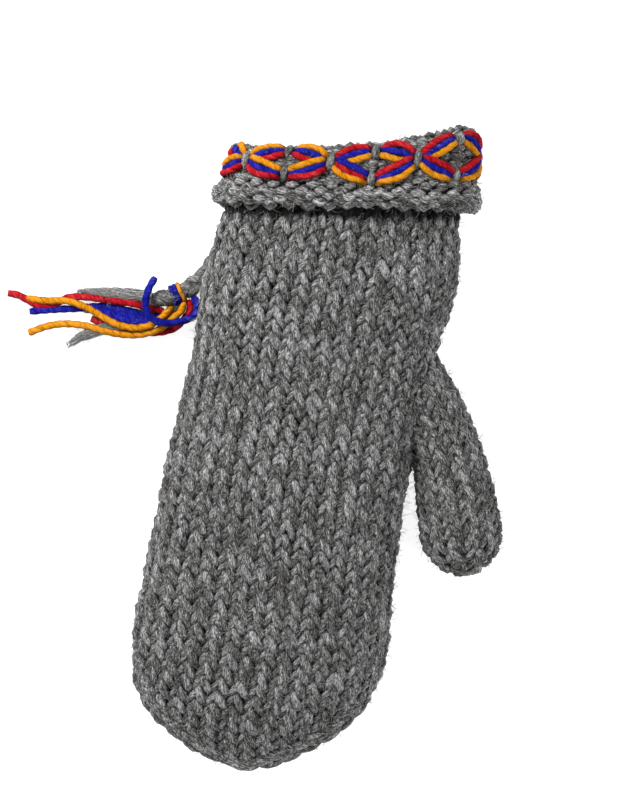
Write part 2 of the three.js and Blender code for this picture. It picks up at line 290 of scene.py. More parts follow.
def cuffPlace(turn, share, millimetres=0.0):
    # 0 is the top of the rolled hem, 1 the crest of the fold
    turn = np.asarray(turn) % 1.0
    low = np.interp(turn, cuff.turns, cuff.rollTops)
    high = np.interp(turn, cuff.turns, cuff.crests)
    return low + share * (high - low) + millimetres / cuffStep(turn)


def thumbSurface():
    table = np.array(thumbForm["sections"], float)
    chord = walkAlong(table[:, :3])
    at = np.linspace(0, chord[-1], thumbForm["steps"])
    rows = smoothColumns(np.column_stack([chord, table]), at)[:, 1:]
    heading = np.gradient(rows[:, :2], axis=0)
    heading /= np.linalg.norm(heading, axis=1, keepdims=True)
    angles = np.linspace(0, math.pi / 2, thumbForm["endSteps"])[1:]
    last, ahead = rows[-1], heading[-1]
    end = np.zeros((len(angles), 5))
    end[:, :2] = last[:2] + ahead * (thumbForm["endLength"] * np.sin(angles))[:, None]
    end[:, 2] = last[2]
    end[:, 3:] = np.maximum(last[3:] * np.cos(angles)[:, None], thumbForm["smallest"])
    rows = np.vstack([rows, end])[::-1]
    heading = np.vstack([heading, np.tile(ahead, (len(angles), 1))])[::-1]
    quarterSteps = thumbForm["quarterSteps"]
    points = np.zeros((len(rows), 4 * quarterSteps + 1, 3))
    quarterLength = []
    for n, (x, along, z, halfWidth, halfHeight) in enumerate(rows):
        angle = np.linspace(0, 2 * math.pi, thumbForm["outlineSteps"])
        across = np.sin(angle) * halfWidth
        up = np.cos(angle) * halfHeight
        run = np.concatenate([[0], np.cumsum(np.hypot(np.diff(across), np.diff(up)))])
        even = np.linspace(0, run[-1], 4 * quarterSteps + 1)
        across, up = np.interp(even, run, across), np.interp(even, run, up)
        back = -heading[n]
        points[n, :, 0] = x + back[1] * across
        points[n, :, 1] = along - back[0] * across
        points[n, :, 2] = np.maximum(z + up, 0)
        quarterLength.append(run[-1] / 4)
    quarterLength = np.array(quarterLength)
    return Form(walkAlong(points[:, 0]), points, quarterLength, quarterLength)


thumb = thumbSurface()
print("forms ready: cuff round", cuffWalk[-1].round(1), "thumb length", thumb.places[-1].round(1))


def insideHand(points, depth):
    rows = smoothColumns(handForm["sections"], points[:, 1])
    edge = rows[:, 3] + (rows[:, 4] - rows[:, 3]) * handForm["edgeHeight"]
    across = np.abs(points[:, 0] - rows[:, 1]) / np.maximum(rows[:, 2] - depth, 1)
    upSide = points[:, 2] > edge
    up = np.where(upSide, (points[:, 2] - edge) / (rows[:, 4] - edge - depth),
                  (edge - points[:, 2]) / (edge - rows[:, 3] + handForm["palmPress"] - depth))
    power = np.where(upSide, handForm["crownRoundness"], handForm["palmRoundness"])
    return across**power + np.abs(up) ** power < 1


def insideThumb(points, inset):
    # true where a point is in the thumb's own hollow
    rows = np.array(thumbForm["sections"], float)
    result = np.zeros(len(points), bool)
    for a, b in zip(rows[:-1], rows[1:]):
        axis = b[:3] - a[:3]
        t = ((points - a[:3]) @ axis) / (axis @ axis)
        near = (t >= -0.1) & (t <= 1.1)
        middle = a[:3] + np.clip(t, 0, 1)[:, None] * axis
        size = a[3:] + np.clip(t, 0, 1)[:, None] * (b[3:] - a[3:])
        off = points - middle
        level = np.hypot(off[:, 0], off[:, 1]) / (size[:, 0] - inset)
        result |= near & (level**2 + (off[:, 2] / (size[:, 1] - inset)) ** 2 < 1)
    return result


# in radii of the yarn: how high its middle stays above the table, how deep it lies in a form, and
# how high the middle of an edge stitch or a grey thread stays
yarnClear = 1.12
yarnSeat = 1.1
threadClear = 1.1


class Yarn:
    # collects lines of yarn: places in millimetres, thickness as a share, twist, and a level of painted
    # light, where a low level darkens the colour as painted shade
    def __init__(self, radius, twistLength, seed):
        self.radius = radius
        self.twistLength = twistLength
        self.random = np.random.default_rng(seed)
        self.places, self.edges, self.run, self.thick, self.away, self.paintedLight = [], [], [], [], [], []
        self.count = 0

    def line(self, points, thick=1.0, keep=None, away=(0, 0, 1), paintedLight=0.0):
        points = np.asarray(points, float)
        size = len(points)
        # each line starts at its own place in the wool's streaks
        run = walkAlong(points) + self.random.uniform(0, 400)
        index = np.arange(size) + self.count
        pairs = np.column_stack([index[:-1], index[1:]])
        if keep is not None:
            local = pairs - self.count
            pairs = pairs[keep[local[:, 0]] & keep[local[:, 1]]]
        self.places.append(points)
        self.edges.append(pairs)
        self.run.append(run)
        self.thick.append(np.broadcast_to(thick, (size,)).astype(float))
        self.away.append(np.broadcast_to(away, (size, 3)).astype(float))
        self.paintedLight.append(np.broadcast_to(paintedLight, (size,)).astype(float))
        self.count += size

    def mesh(self, name):
        places = (np.concatenate(self.places) + inFrame) * mm
        edges = np.concatenate(self.edges)
        used = np.zeros(len(places), bool)
        used[edges.ravel()] = True
        renumber = np.cumsum(used) - 1
        mesh = bpy.data.meshes.new(name)
        mesh.vertices.add(int(used.sum()))
        mesh.vertices.foreach_set("co", places[used].ravel())
        mesh.edges.add(len(edges))
        mesh.edges.foreach_set("vertices", renumber[edges].astype(np.int32).ravel())
        run = np.concatenate(self.run)
        values = {
            "run": run * mm,
            "thick": np.concatenate(self.thick) * self.radius * mm,
            "lay": run / self.twistLength * 2 * math.pi,
            # painted light: a low level darkens the yarn's colour as painted shade
            "paintedLight": np.concatenate(self.paintedLight),
        }
        for label, data in values.items():
            layer = mesh.attributes.new(label, "FLOAT", "POINT")
            layer.data.foreach_set("value", data[used].astype(np.float32))
        layer = mesh.attributes.new("away", "FLOAT_VECTOR", "POINT")
        layer.data.foreach_set("vector", np.concatenate(self.away)[used].astype(np.float32).ravel())
        mesh.update()
        return mesh


def periodic(random, count, t):
    # a value for each stitch, smooth between them
    knots = random.normal(0, 1, count)
    knots = np.concatenate([knots, knots[:1]])
    return np.interp(t % count, np.arange(count + 1), knots)


def columnTurn(form, c, perQuarter, along, width):
    # the turn of a stitch column: columns keep their width, and the last in a quarter takes the rest
    k = perQuarter
    c = np.asarray(c) % (4 * k)
    sector = np.minimum((c / k).astype(int), 3)
    fromMiddle = np.choose(sector, [c, 2 * k - c, c - 2 * k, 4 * k - c])
    palm = (sector == 1) | (sector == 2)
    length = np.where(palm, form.quarter(along, True), form.quarter(along, False))
    usual = np.where(palm, width[1], width[0])
    usual = np.minimum(usual, length / (k - knit["leastLast"]))
    usual = np.where(width[2], length / k, usual)
    inner = usual * np.minimum(fromMiddle, k - 1)
    outer = (length - usual * (k - 1)) * np.maximum(fromMiddle - (k - 1), 0)
    share = 0.25 * (inner + outer) / length
    return np.choose(sector, [share, 0.5 - share, 0.5 + share, 1 - share])


# how uneven a loop is: height, lean, depth and plump as a share, across, along and out in mm
loopNoise = {"height": 0.08, "lean": 0.3, "across": 0.27, "along": 0.32, "depth": 0.3, "out": 0.22,
             "plump": 0.09}


def loopLine(loop, count, t, random, steady=1.0):
    # a row of loops: how far across, along and out each point lies from its even place
    def uneven(kind, at):
        return loopNoise[kind] * steady * periodic(random, count, at)

    angle = 2 * math.pi * t
    height = loop["height"] * (1 + uneven("height", t + 0.5))
    lean = loop["lean"] * (1 + uneven("lean", t))
    across = -lean * np.sin(2 * angle) - loop["skew"] * np.cos(angle) + uneven("across", t)
    along = -height / 2 * np.cos(angle) + uneven("along", t)
    depth = loop["depth"] * (1 + uneven("depth", t + 0.5))
    out = -loop["face"] * depth * np.cos(2 * angle) - loop["bias"] * np.sin(angle)
    out = out - loop["tilt"] * np.cos(angle) + uneven("out", t)
    plump = 1 - loop["face"] * loop["plump"] * np.cos(2 * angle) - loop["fat"] * np.sin(angle)
    plump = plump + uneven("plump", 2 * t + 0.3)
    return across, along, out, plump


knit = {
    "stitchSteps": 14,
    "perQuarter": 8,
    "leastLast": 0.45,  # how much narrower than the others the last column in a quarter may be
    "firstRow": 5.0,
    "rowPitch": 5.72,
    "radius": 1.9,
    "twistLength": 27.0,
    "loop": {"height": 10.2, "lean": 0.85, "skew": -0.9, "depth": 1.25, "plump": 0.2, "face": 1,
             "bias": 0.3, "tilt": 0.9, "fat": 0.11},
    "steady": 0.78,
    "wideFrom": 60.0,
    "shearFrom": 243.0,
    "endsBelowMouth": 8.0,
    "endShade": 0.65,
    # painted shadow where the hem hangs over: from how far before its edge, over what length, how dark
    "shadeFrom": 4.0,
    "shadeReach": 2.4,
    "shadeDepth": 3.0,
    "sway": ((0.45, 21.0, 0.8), (0.3, 8.0, -1.7)),
    "swayAlong": 0.8,
    "swayShift": 5,
    "thumbInset": 5.0,  # the hand's stitches reach this far into the thumb's wall
    "passes": 3,  # to find how far a sheared row moves each stitch
    "seed": 11,
}


def sheared(base, x):
    # rows lie square to the hand, and turn towards the mouth's slant under the cuff
    start = knit["shearFrom"]
    share = (base - start) / (mouthAt(0.0) - start)
    return np.where(base > start, start + share * (mouthAt(x) - start), base)


def handRows():
    walk = walkAlong(hand.points[:, 0])
    fullWidth = (hand.quarter(knit["wideFrom"]) / knit["perQuarter"],
                 hand.quarter(knit["wideFrom"], True) / knit["perQuarter"])
    rows = []
    place = knit["firstRow"]
    while True:
        base = float(np.interp(place, walk, hand.places))
        if base > mouthAt(0.0) - knit["endsBelowMouth"]:
            break
        reach = hand.quarter(base)
        k = knit["perQuarter"]
        if base < knit["wideFrom"]:
            k = int(np.clip(round(reach / fullWidth[0]), 1, k))
        rows.append((base, place, k))
        place += knit["rowPitch"]
    return rows, walk, fullWidth


def knitHand():
    rows, walk, fullWidth = handRows()
    random = np.random.default_rng(knit["seed"])
    back = Yarn(knit["radius"], knit["twistLength"], 1)
    palm = Yarn(knit["radius"], knit["twistLength"], 2)
    loop = knit["loop"]
    for base, place, k in rows:
        count = 4 * k
        steps = knit["stitchSteps"]
        t = np.linspace(-k, 3 * k, count * steps + 1)
        across, along, out, plump = loopLine(loop, count, t, random, knit["steady"])
        # along the crown's own slope near the fingertip
        sway = sum(size * np.sin(base / long + turns * t) for size, long, turns in knit["sway"])
        shift = knit["swayAlong"] * np.roll(sway, knit["swayShift"])
        where = np.interp(place + along + shift, walk, hand.places)
        c = t + (across + sway) / fullWidth[0]
        width = (fullWidth[0], fullWidth[1], base >= knit["wideFrom"])
        turn = columnTurn(hand, c, k, where, width)
        for step in range(knit["passes"]):
            x = hand.at(turn, where)[:, 0]
            spot = sheared(where, x)
            turn = columnTurn(hand, c, k, spot, width)
        points = hand.at(turn, spot, out - (knit["radius"] * yarnSeat + loop["depth"]))
        points[:, 2] = np.maximum(points[:, 2], yarnClear * knit["radius"] * plump)
        keep = ~insideThumb(points, knit["thumbInset"])
        away = hand.away(turn, spot)
        # painted shade: darker where a loop lies deep, in the hem's painted shadow and at each loop's ends
        under = points[:, 1] - freeEdgeAt(points[:, 0]) + knit["shadeFrom"]
        paintedLight = out - knit["shadeDepth"] * np.clip(under / knit["shadeReach"], 0, 1)
        paintedLight = paintedLight - knit["endShade"] * np.cos(2 * math.pi * t) ** 4
        half = 2 * k * steps
        for yarn, part in ((back, slice(0, half + 1)), (palm, slice(half, None))):
            yarn.line(points[part], plump[part], keep[part], away[part], paintedLight[part])
    return back, palm


# node trees. An input is given as a value, or as the socket of another node
def newGroup(name, kind, inputs, outputs):
    group = bpy.data.node_groups.new(name, kind)
    face = group.interface
    for label, socketType, value in inputs:
        socket = face.new_socket(name=label, in_out="INPUT", socket_type="NodeSocket" + socketType)
        if value is not None:
            socket.default_value = value
    for label, socketType in outputs:
        face.new_socket(name=label, in_out="OUTPUT", socket_type="NodeSocket" + socketType)
    return group


def addNode(tree, kind, x, y, inputs=None, **settings):
    node = tree.nodes.new(kind)
    node.location = (x, y)
    for key, value in settings.items():
        setattr(node, key, value)
    for key, value in (inputs or {}).items():
        if isinstance(value, bpy.types.NodeSocket):
            tree.links.new(value, node.inputs[key])
        else:
            node.inputs[key].default_value = value
    return node


def mathNode(tree, operation, x, y, *inputs, clamp=False):
    return addNode(tree, "ShaderNodeMath", x, y, dict(enumerate(inputs)), operation=operation,
                   use_clamp=clamp).outputs[0]


def mapRange(tree, x, y, value, low, high, newLow, newHigh, smooth=False):
    return addNode(tree, "ShaderNodeMapRange", x, y, dict(enumerate((value, low, high, newLow, newHigh))),
                   interpolation_type="SMOOTHSTEP" if smooth else "LINEAR").outputs[0]


def attribute(tree, name, output, x, y):
    return addNode(tree, "ShaderNodeAttribute", x, y, attribute_name=name).outputs[output]


def finishTree(tree, geometry, material, x, y):
    real = addNode(tree, "GeometryNodeRealizeInstances", x, y, {"Geometry": geometry})
    finish = addNode(tree, "GeometryNodeSetMaterial", x + 170, y,
                     {"Geometry": real.outputs["Geometry"], "Material": material})
    addNode(tree, "NodeGroupOutput", x + 340, y, {"Geometry": finish.outputs["Geometry"]})


def buildYarnTree():
    # makes yarn out of lines
    tree = newGroup("yarnTube", "GeometryNodeTree", [
        ("Geometry", "Geometry", None),
        ("Sides", "Int", 8),
        ("Plies", "Float", 2.0),
        ("Ply Depth", "Float", 0.1),
        ("Wool", "Material", None),
    ], [("Geometry", "Geometry")])
    source = addNode(tree, "NodeGroupInput", -900, 0).outputs
    toCurve = addNode(tree, "GeometryNodeMeshToCurve", -650, 100, {"Mesh": source["Geometry"]})
    thick, lay = (addNode(tree, "GeometryNodeInputNamedAttribute", -650, y, {"Name": name},
                          data_type="FLOAT").outputs["Attribute"]
                  for name, y in (("thick", -50), ("lay", -180)))
    tilt = addNode(tree, "GeometryNodeSetCurveTilt", -230, 100,
                   {"Curve": toCurve.outputs["Curve"], "Tilt": lay})
    # the yarn's section: a circle with a lobe for each ply
    circle = addNode(tree, "GeometryNodeCurvePrimitiveCircle", -650, -400,
                     {"Resolution": source["Sides"], "Radius": 1.0}, mode="RADIUS")
    factor = addNode(tree, "GeometryNodeSplineParameter", -650, -560).outputs["Factor"]
    angle = mathNode(tree, "MULTIPLY", -480, -560, factor, 2 * math.pi)
    lobes = mathNode(tree, "MULTIPLY", -320, -560, angle, source["Plies"])
    wave = mathNode(tree, "COSINE", -160, -560, lobes)
    swell = mathNode(tree, "MULTIPLY_ADD", 0, -560, wave, source["Ply Depth"], 1.0)
    place = addNode(tree, "GeometryNodeInputPosition", -160, -720).outputs[0]
    ringStore = addNode(tree, "GeometryNodeStoreNamedAttribute", -320, -400,
                        {"Name": "ring", "Geometry": circle.outputs["Curve"], "Value": place},
                        data_type="FLOAT_VECTOR", domain="POINT")
    grown = addNode(tree, "ShaderNodeVectorMath", 160, -600, {0: place, "Scale": swell}, operation="SCALE")
    section = addNode(tree, "GeometryNodeSetPosition", 160, -400,
                      {"Geometry": ringStore.outputs["Geometry"], "Position": grown.outputs[0]})
    sweep = addNode(tree, "GeometryNodeCurveToMesh", 340, 100,
                    {"Curve": tilt.outputs["Curve"], "Scale": thick,
                     "Profile Curve": section.outputs["Geometry"], "Fill Caps": True})
    soft = addNode(tree, "GeometryNodeSetShadeSmooth", 520, 100,
                   {"Geometry": sweep.outputs["Mesh"], "Shade Smooth": True})
    finishTree(tree, soft.outputs["Geometry"], source["Wool"], 690, 100)
    return tree


yarnTree = buildYarnTree()


def grow(mesh, tree, name, **values):
    # runs a tree on a mesh and keeps the result as a plain mesh piece
    carrier = bpy.data.objects.new(name + ".lines", mesh)
    bpy.context.collection.objects.link(carrier)
    modifier = carrier.modifiers.new("tree", "NODES")
    modifier.node_group = tree
    for item in tree.interface.items_tree:
        if item.item_type == "SOCKET" and item.in_out == "INPUT" and item.name in values:
            modifier[item.identifier] = values[item.name]
    deps = bpy.context.evaluated_depsgraph_get()
    made = bpy.data.meshes.new_from_object(carrier.evaluated_get(deps), preserve_all_data_layers=True,
                                           depsgraph=deps)
    made.name = name
    bpy.data.objects.remove(carrier)
    piece = bpy.data.objects.new(name, made)
    bpy.context.collection.objects.link(piece)
    facesOut(made)
    return piece


def buildFuzzTree():
    # short bent hairs that stand out of the wool
    tree = newGroup("woolFuzz", "GeometryNodeTree", [
        ("Geometry", "Geometry", None),
        ("Hairs", "Float", 100000.0),
        ("Length", "Float", 0.003),
        ("Thickness", "Float", 0.00004),
        ("Lean", "Float", 1.1),
        ("Seed", "Int", 7),
        ("Wool", "Material", None),
    ], [("Geometry", "Geometry")])
    source = addNode(tree, "NodeGroupInput", -900, 0).outputs
    scatter = addNode(tree, "GeometryNodeDistributePointsOnFaces", -650, 200,
                      {"Mesh": source["Geometry"], "Density": source["Hairs"], "Seed": source["Seed"]},
                      distribute_method="RANDOM")
    # one hair, bent over its length
    hair = addNode(tree, "GeometryNodeCurveQuadraticBezier", -650, -150, {
        "Resolution": 2, "Start": (0, 0, 0), "Middle": (0.12, 0.0, 0.55), "End": (0.8, 0.15, 0.62),
    })
    slim = mathNode(tree, "DIVIDE", -850, -420, source["Thickness"], source["Length"])
    section = addNode(tree, "GeometryNodeCurvePrimitiveCircle", -650, -420, {"Resolution": 3, "Radius": slim},
                      mode="RADIUS")
    body = addNode(tree, "GeometryNodeCurveToMesh", -450, -200, {
        "Curve": hair.outputs["Curve"], "Profile Curve": section.outputs["Curve"], "Fill Caps": True,
    })
    # each hair leans its own way and has its own length
    reach = addNode(tree, "ShaderNodeCombineXYZ", -850, -620,
                    {"X": source["Lean"], "Y": source["Lean"], "Z": 3.14}).outputs[0]
    back = addNode(tree, "ShaderNodeVectorMath", -850, -780, {0: reach, "Scale": -1.0}, operation="SCALE")
    swing = addNode(tree, "FunctionNodeRandomValue", -650, -620, {
        "Min": back.outputs[0], "Max": reach, "Seed": source["Seed"],
    }, data_type="FLOAT_VECTOR")
    swingTurn = addNode(tree, "FunctionNodeEulerToRotation", -500, -500, {"Euler": swing.outputs["Value"]})
    turned = addNode(tree, "FunctionNodeRotateRotation", -350, 0, {
        "Rotation": scatter.outputs["Rotation"], "Rotate By": swingTurn.outputs["Rotation"],
    }, rotation_space="LOCAL")
    size = addNode(tree, "FunctionNodeRandomValue", -350, -750, {2: 0.5, 3: 1.5, "Seed": source["Seed"]},
                   data_type="FLOAT")
    grown = mathNode(tree, "MULTIPLY", -180, -700, size.outputs[1], source["Length"])
    stand = addNode(tree, "GeometryNodeInstanceOnPoints", -100, 150, {
        "Points": scatter.outputs["Points"], "Instance": body.outputs["Mesh"],
        "Rotation": turned.outputs["Rotation"], "Scale": grown,
    })
    finishTree(tree, stand.outputs["Instances"], source["Wool"], 100, 150)
    return tree


fuzzTree = buildFuzzTree()


def facesOut(mesh):
    # a yarn tube that came out inside out is turned
    mesh.calc_loop_triangles()
    corners = np.empty(3 * len(mesh.loop_triangles), np.int32)
    mesh.loop_triangles.foreach_get("vertices", corners)
    places = np.empty(3 * len(mesh.vertices), np.float32)
    mesh.vertices.foreach_get("co", places)
    tri = places.reshape(-1, 3).astype(float)[corners.reshape(-1, 3)]
    sixVolumes = np.einsum("ij,ij->i", tri[:, 0], np.cross(tri[:, 1], tri[:, 2])).sum()
    if sixVolumes < 0:
        mesh.flip_normals()


# wool, as materials
def buildFleckGroup():
    # the look of carded wool: fine streaks along the yarn, and tones that change from place to place
    group = newGroup("woolFleck", "ShaderNodeTree", [
        ("Strand", "Vector", None),
        ("Streak Scale", "Float", 1.5),
        ("Streak Contrast", "Float", 1.0),
        ("Tone", "Float", 0.5),
    ], [("Light", "Float"), ("Height", "Float")])
    source = addNode(group, "NodeGroupInput", -900, 0).outputs
    fine = addNode(group, "ShaderNodeTexNoise", -600, 200, {
        "Vector": source["Strand"], "Scale": source["Streak Scale"], "Detail": 3.0, "Roughness": 0.65,
        "Distortion": 0.3,
    }).outputs["Fac"]
    broad = addNode(group, "ShaderNodeTexNoise", -600, -100, {
        "Vector": source["Strand"], "Scale": 0.35, "Detail": 2.0, "Roughness": 0.6,
    }).outputs["Fac"]
    streaks = mathNode(group, "MULTIPLY", -200, 200, mapRange(group, -380, 200, fine, 0.36, 0.64, -0.5, 0.5),
                       source["Streak Contrast"])
    clouds = mapRange(group, -380, -100, broad, 0.35, 0.65, -0.2, 0.2)
    tones = mathNode(group, "ADD", -20, 100, streaks, clouds)
    light = mathNode(group, "ADD", 140, 100, tones, source["Tone"], clamp=True)
    addNode(group, "NodeGroupOutput", 320, 100, {"Light": light, "Height": fine})
    return group


fleckGroup = buildFleckGroup()


def strandVector(tree, radius, stretch):
    # a place on the yarn: round its section in millimetres, and along it shortened so that
    # the noise makes streaks
    ring = addNode(tree, "ShaderNodeVectorMath", -1100, 200,
                   {0: attribute(tree, "ring", "Vector", -1300, 200), "Scale": radius}, operation="SCALE")
    run = attribute(tree, "run", "Fac", -1300, -50)
    along = mathNode(tree, "MULTIPLY", -1100, -50, run, 1000.0 / stretch)
    lift = addNode(tree, "ShaderNodeCombineXYZ", -930, -50, {"Z": along})
    return addNode(tree, "ShaderNodeVectorMath", -760, 100, {0: ring.outputs[0], 1: lift.outputs[0]},
                   operation="ADD").outputs[0]


def buildPaintedShadeGroup():
    # painted shade: how much light the colour keeps, less on a yarn's flanks, between its plies and where it
    # lies deep
    group = newGroup("yarnPaintedShade", "ShaderNodeTree",
                     [("Flank", "Float", 0.5), ("Groove", "Float", 0.15), ("Depth", "Float", 0.5)],
                     [("Light", "Float")])
    source = addNode(group, "NodeGroupInput", -900, -300).outputs
    surface = addNode(group, "ShaderNodeNewGeometry", -900, 0)
    facing = addNode(group, "ShaderNodeVectorMath", -700, 100,
                     {0: attribute(group, "away", "Vector", -900, 200), 1: surface.outputs["Normal"]},
                     operation="DOT_PRODUCT")
    flankShade = mapRange(group, -500, 100, facing.outputs["Value"], 0.1, 0.9, 1.0, 0.0, smooth=True)
    sunkShade = mapRange(group, -700, -500, attribute(group, "paintedLight", "Fac", -900, -500), -1.05, 0.8, 1.0, 0.0)
    parts = addNode(group, "ShaderNodeSeparateXYZ", -700, -750,
                    {0: attribute(group, "ring", "Vector", -900, -750)})
    square = mathNode(group, "MULTIPLY", -520, -750, parts.outputs["X"], parts.outputs["X"])
    grooveShade = mapRange(group, -350, -750, square, 0.0, 0.22, 1.0, 0.0, smooth=True)
    kept = []
    for n, (loss, label) in enumerate(((flankShade, "Flank"), (sunkShade, "Depth"), (grooveShade, "Groove"))):
        part = mathNode(group, "MULTIPLY", -180, 100 - 250 * n, loss, source[label])
        kept.append(mathNode(group, "SUBTRACT", 0, 100 - 250 * n, 1.0, part, clamp=True))
    both = mathNode(group, "MULTIPLY", 180, 0, kept[0], kept[1])
    addNode(group, "NodeGroupOutput", 500, 0, {"Light": mathNode(group, "MULTIPLY", 340, 0, both, kept[2])})
    return group


paintedShadeGroup = buildPaintedShadeGroup()


# the last three arguments weigh the painted shade on the yarn's flanks, between its plies and where it lies
# deep
def woolMaterial(name, colours, radius, stretch=3.4, scale=2.9, contrast=0.92, patchDepth=0.07, bump=0.3,
                 sheen=0.06, gloss=0.14, flankShade=0.95, grooveShade=0.12, depth=0.94):
    material = bpy.data.materials.new(name)
    material.use_nodes = True
    tree = material.node_tree
    tree.nodes.clear()
    # larger patches over the whole piece, from its own place
    where = addNode(tree, "ShaderNodeTexCoord", -1300, -350)
    patch = addNode(tree, "ShaderNodeTexNoise", -1100, -350,
                    {"Vector": where.outputs["Object"], "Scale": 55.0, "Detail": 2.0})
    tone = mapRange(tree, -900, -350, patch.outputs["Fac"], 0.3, 0.7, 0.5 - patchDepth, 0.5 + patchDepth)
    fleck = addNode(tree, "ShaderNodeGroup", -560, 100, {
        "Strand": strandVector(tree, radius, stretch), "Streak Scale": scale, "Streak Contrast": contrast,
        "Tone": tone,
    }, node_tree=fleckGroup)
    paintedShade = addNode(tree, "ShaderNodeGroup", -340, 420, {"Flank": flankShade, "Groove": grooveShade, "Depth": depth},
                     node_tree=paintedShadeGroup)
    ramp = addNode(tree, "ShaderNodeValToRGB", -340, 150, {"Fac": fleck.outputs["Light"]})
    stops = ramp.color_ramp.elements
    while len(stops) < len(colours):
        stops.new(0.5)
    for stop, (place, colour) in zip(stops, colours):
        stop.position = place
        stop.color = (*colour, 1)
    relief = addNode(tree, "ShaderNodeBump", -340, -150,
                     {"Height": fleck.outputs["Height"], "Strength": bump, "Distance": 0.0006})
    # painted shade multiplied into the base colour
    shade = addNode(tree, "ShaderNodeVectorMath", -140, 260,
                    {0: ramp.outputs["Color"], "Scale": paintedShade.outputs["Light"]}, operation="SCALE")
    shader = addNode(tree, "ShaderNodeBsdfPrincipled", 0, 100, {
        "Base Color": shade.outputs[0], "Normal": relief.outputs["Normal"], "Roughness": 0.92,
        "Specular IOR Level": gloss, "Sheen Weight": sheen, "Sheen Roughness": 0.6,
    })
    addNode(tree, "ShaderNodeOutputMaterial", 300, 100, {"Surface": shader.outputs[0]})
    return material


greyStops = [(0.0, (0.009, 0.0083, 0.008)), (0.3, (0.045, 0.042, 0.0405)), (0.55, (0.125, 0.1225, 0.12)),
             (0.8, (0.255, 0.257, 0.257)), (1.0, (0.46, 0.465, 0.465))]
greyWool = woolMaterial("greyWool", greyStops, knit["radius"])
cuffLight = 1.24  # the cuff's colours are the grey wool's, this many times lighter
cuffStops = [(place, tuple(cuffLight * part for part in colour)) for place, colour in greyStops]
cuffWool = woolMaterial("cuffWool", cuffStops, knit["radius"])


def dress(piece, slotName, *nodes):
    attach(piece, "root")
    if nodes:
        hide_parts(*nodes)
    return piece


# the thumb's stitches, rows of the same loops that end where the hand begins
thumbKnit = {"perQuarter": 3, "firstRow": 3.4, "depthInHand": 3.0, "skew": -0.3, "steady": 0.42, "seed": 12}


def knitThumb():
    yarn = Yarn(knit["radius"], knit["twistLength"], 3)
    random = np.random.default_rng(thumbKnit["seed"])
    loop = {**knit["loop"], "skew": thumbKnit["skew"]}
    widest = thumb.backLength.max() / thumbKnit["perQuarter"]
    place = thumbKnit["firstRow"]
    while place < thumb.places[-1] - 1:
        k = int(np.clip(round(float(thumb.quarter(place)) / widest), 1, thumbKnit["perQuarter"]))
        t = np.linspace(0, 4 * k, 4 * k * knit["stitchSteps"] + 1)
        across, along, out, plump = loopLine(loop, 4 * k, t, random, thumbKnit["steady"])
        turn = (t + across / widest) / (4 * k)
        points = thumb.at(turn, place + along, -(knit["radius"] * yarnSeat + loop["depth"]) + out)
        points[:, 2] = np.maximum(points[:, 2], yarnClear * knit["radius"] * plump)
        keep = ~insideHand(points, thumbKnit["depthInHand"])
        # painted shade: darker where a loop lies deep and at each loop's ends
        paintedLight = out - knit["endShade"] * np.cos(2 * math.pi * t) ** 4
        yarn.line(points, plump, keep, thumb.away(turn, place + along), paintedLight)
        place += knit["rowPitch"]
    return yarn


# the turned cuff shows the knitting's purl side. Rows are placed from the hem's edge, between the
# rolled hem and the fold, and past the fold into the mouth
cuffKnit = {
    "stitches": 32,
    "radius": 2.0,
    "twistLength": 26.0,
    "rows": [("hem", 4.1), ("hem", 10.2), ("hem", 16.3), ("band", 0.0), ("wide", 0.2), ("band", 0.4),
             ("wide", 0.6), ("band", 0.8), ("fold", 1.4), ("fold", 6.2), ("fold", 11.2), ("fold", 16.4)],
    "hemLoop": {"height": 9.2, "lean": -1.1, "skew": 0.3},
    "hemThick": 1.06,
    "hemSteady": 0.8,
    "wideBand": 13.0,
    "loop": {"height": 6.4, "lean": -0.6, "skew": 0.55, "depth": 1.75, "plump": 0.2, "face": -1,
             "bias": 0.0, "tilt": 0.0, "fat": 0.0},
    "seed": 13,
}


def cuffRowPlace(kind, value, turn):
    if kind == "hem":
        return value / cuffStep(turn)
    if kind in ("band", "wide"):
        return cuffPlace(turn, value)
    return cuffPlace(turn, 1.0, value)


def knitCuff():
    yarn = Yarn(cuffKnit["radius"], cuffKnit["twistLength"], 4)
    random = np.random.default_rng(cuffKnit["seed"])
    loop = cuffKnit["loop"]
    count = cuffKnit["stitches"]
    width = cuffWalk[-1] / count
    t = np.linspace(-count / 2, count / 2, count * knit["stitchSteps"] + 1)
    hemLoop = {**loop, **cuffKnit["hemLoop"]}
    for kind, value in cuffKnit["rows"]:
        hem = kind == "hem"
        across, along, out, plump = loopLine(hemLoop if hem else loop, count, t, random,
                                             cuffKnit["hemSteady"] if hem else 1.0)
        turn = cuffTurn(t * width + across)
        step = cuffStep(turn)
        place = np.clip(cuffRowPlace(kind, value, turn) + along / step, 0, cuffLast)
        thick = plump * (cuffKnit["hemThick"] if hem else 1.0)
        points = cuff.at(turn, place, -(cuffKnit["radius"] * yarnSeat + loop["depth"]) + out)
        points[:, 2] = np.maximum(points[:, 2], yarnClear * cuffKnit["radius"] * thick)
        # the band is broader on one side, and has more rows there
        height = (cuffPlace(turn, 1.0) - cuffPlace(turn, 0.0)) * step
        keep = (height > cuffKnit["wideBand"]) if kind == "wide" else None
        # painted shade: darker where a loop lies deep
        yarn.line(points, thick, keep, cuff.away(turn, place), out)
    return yarn


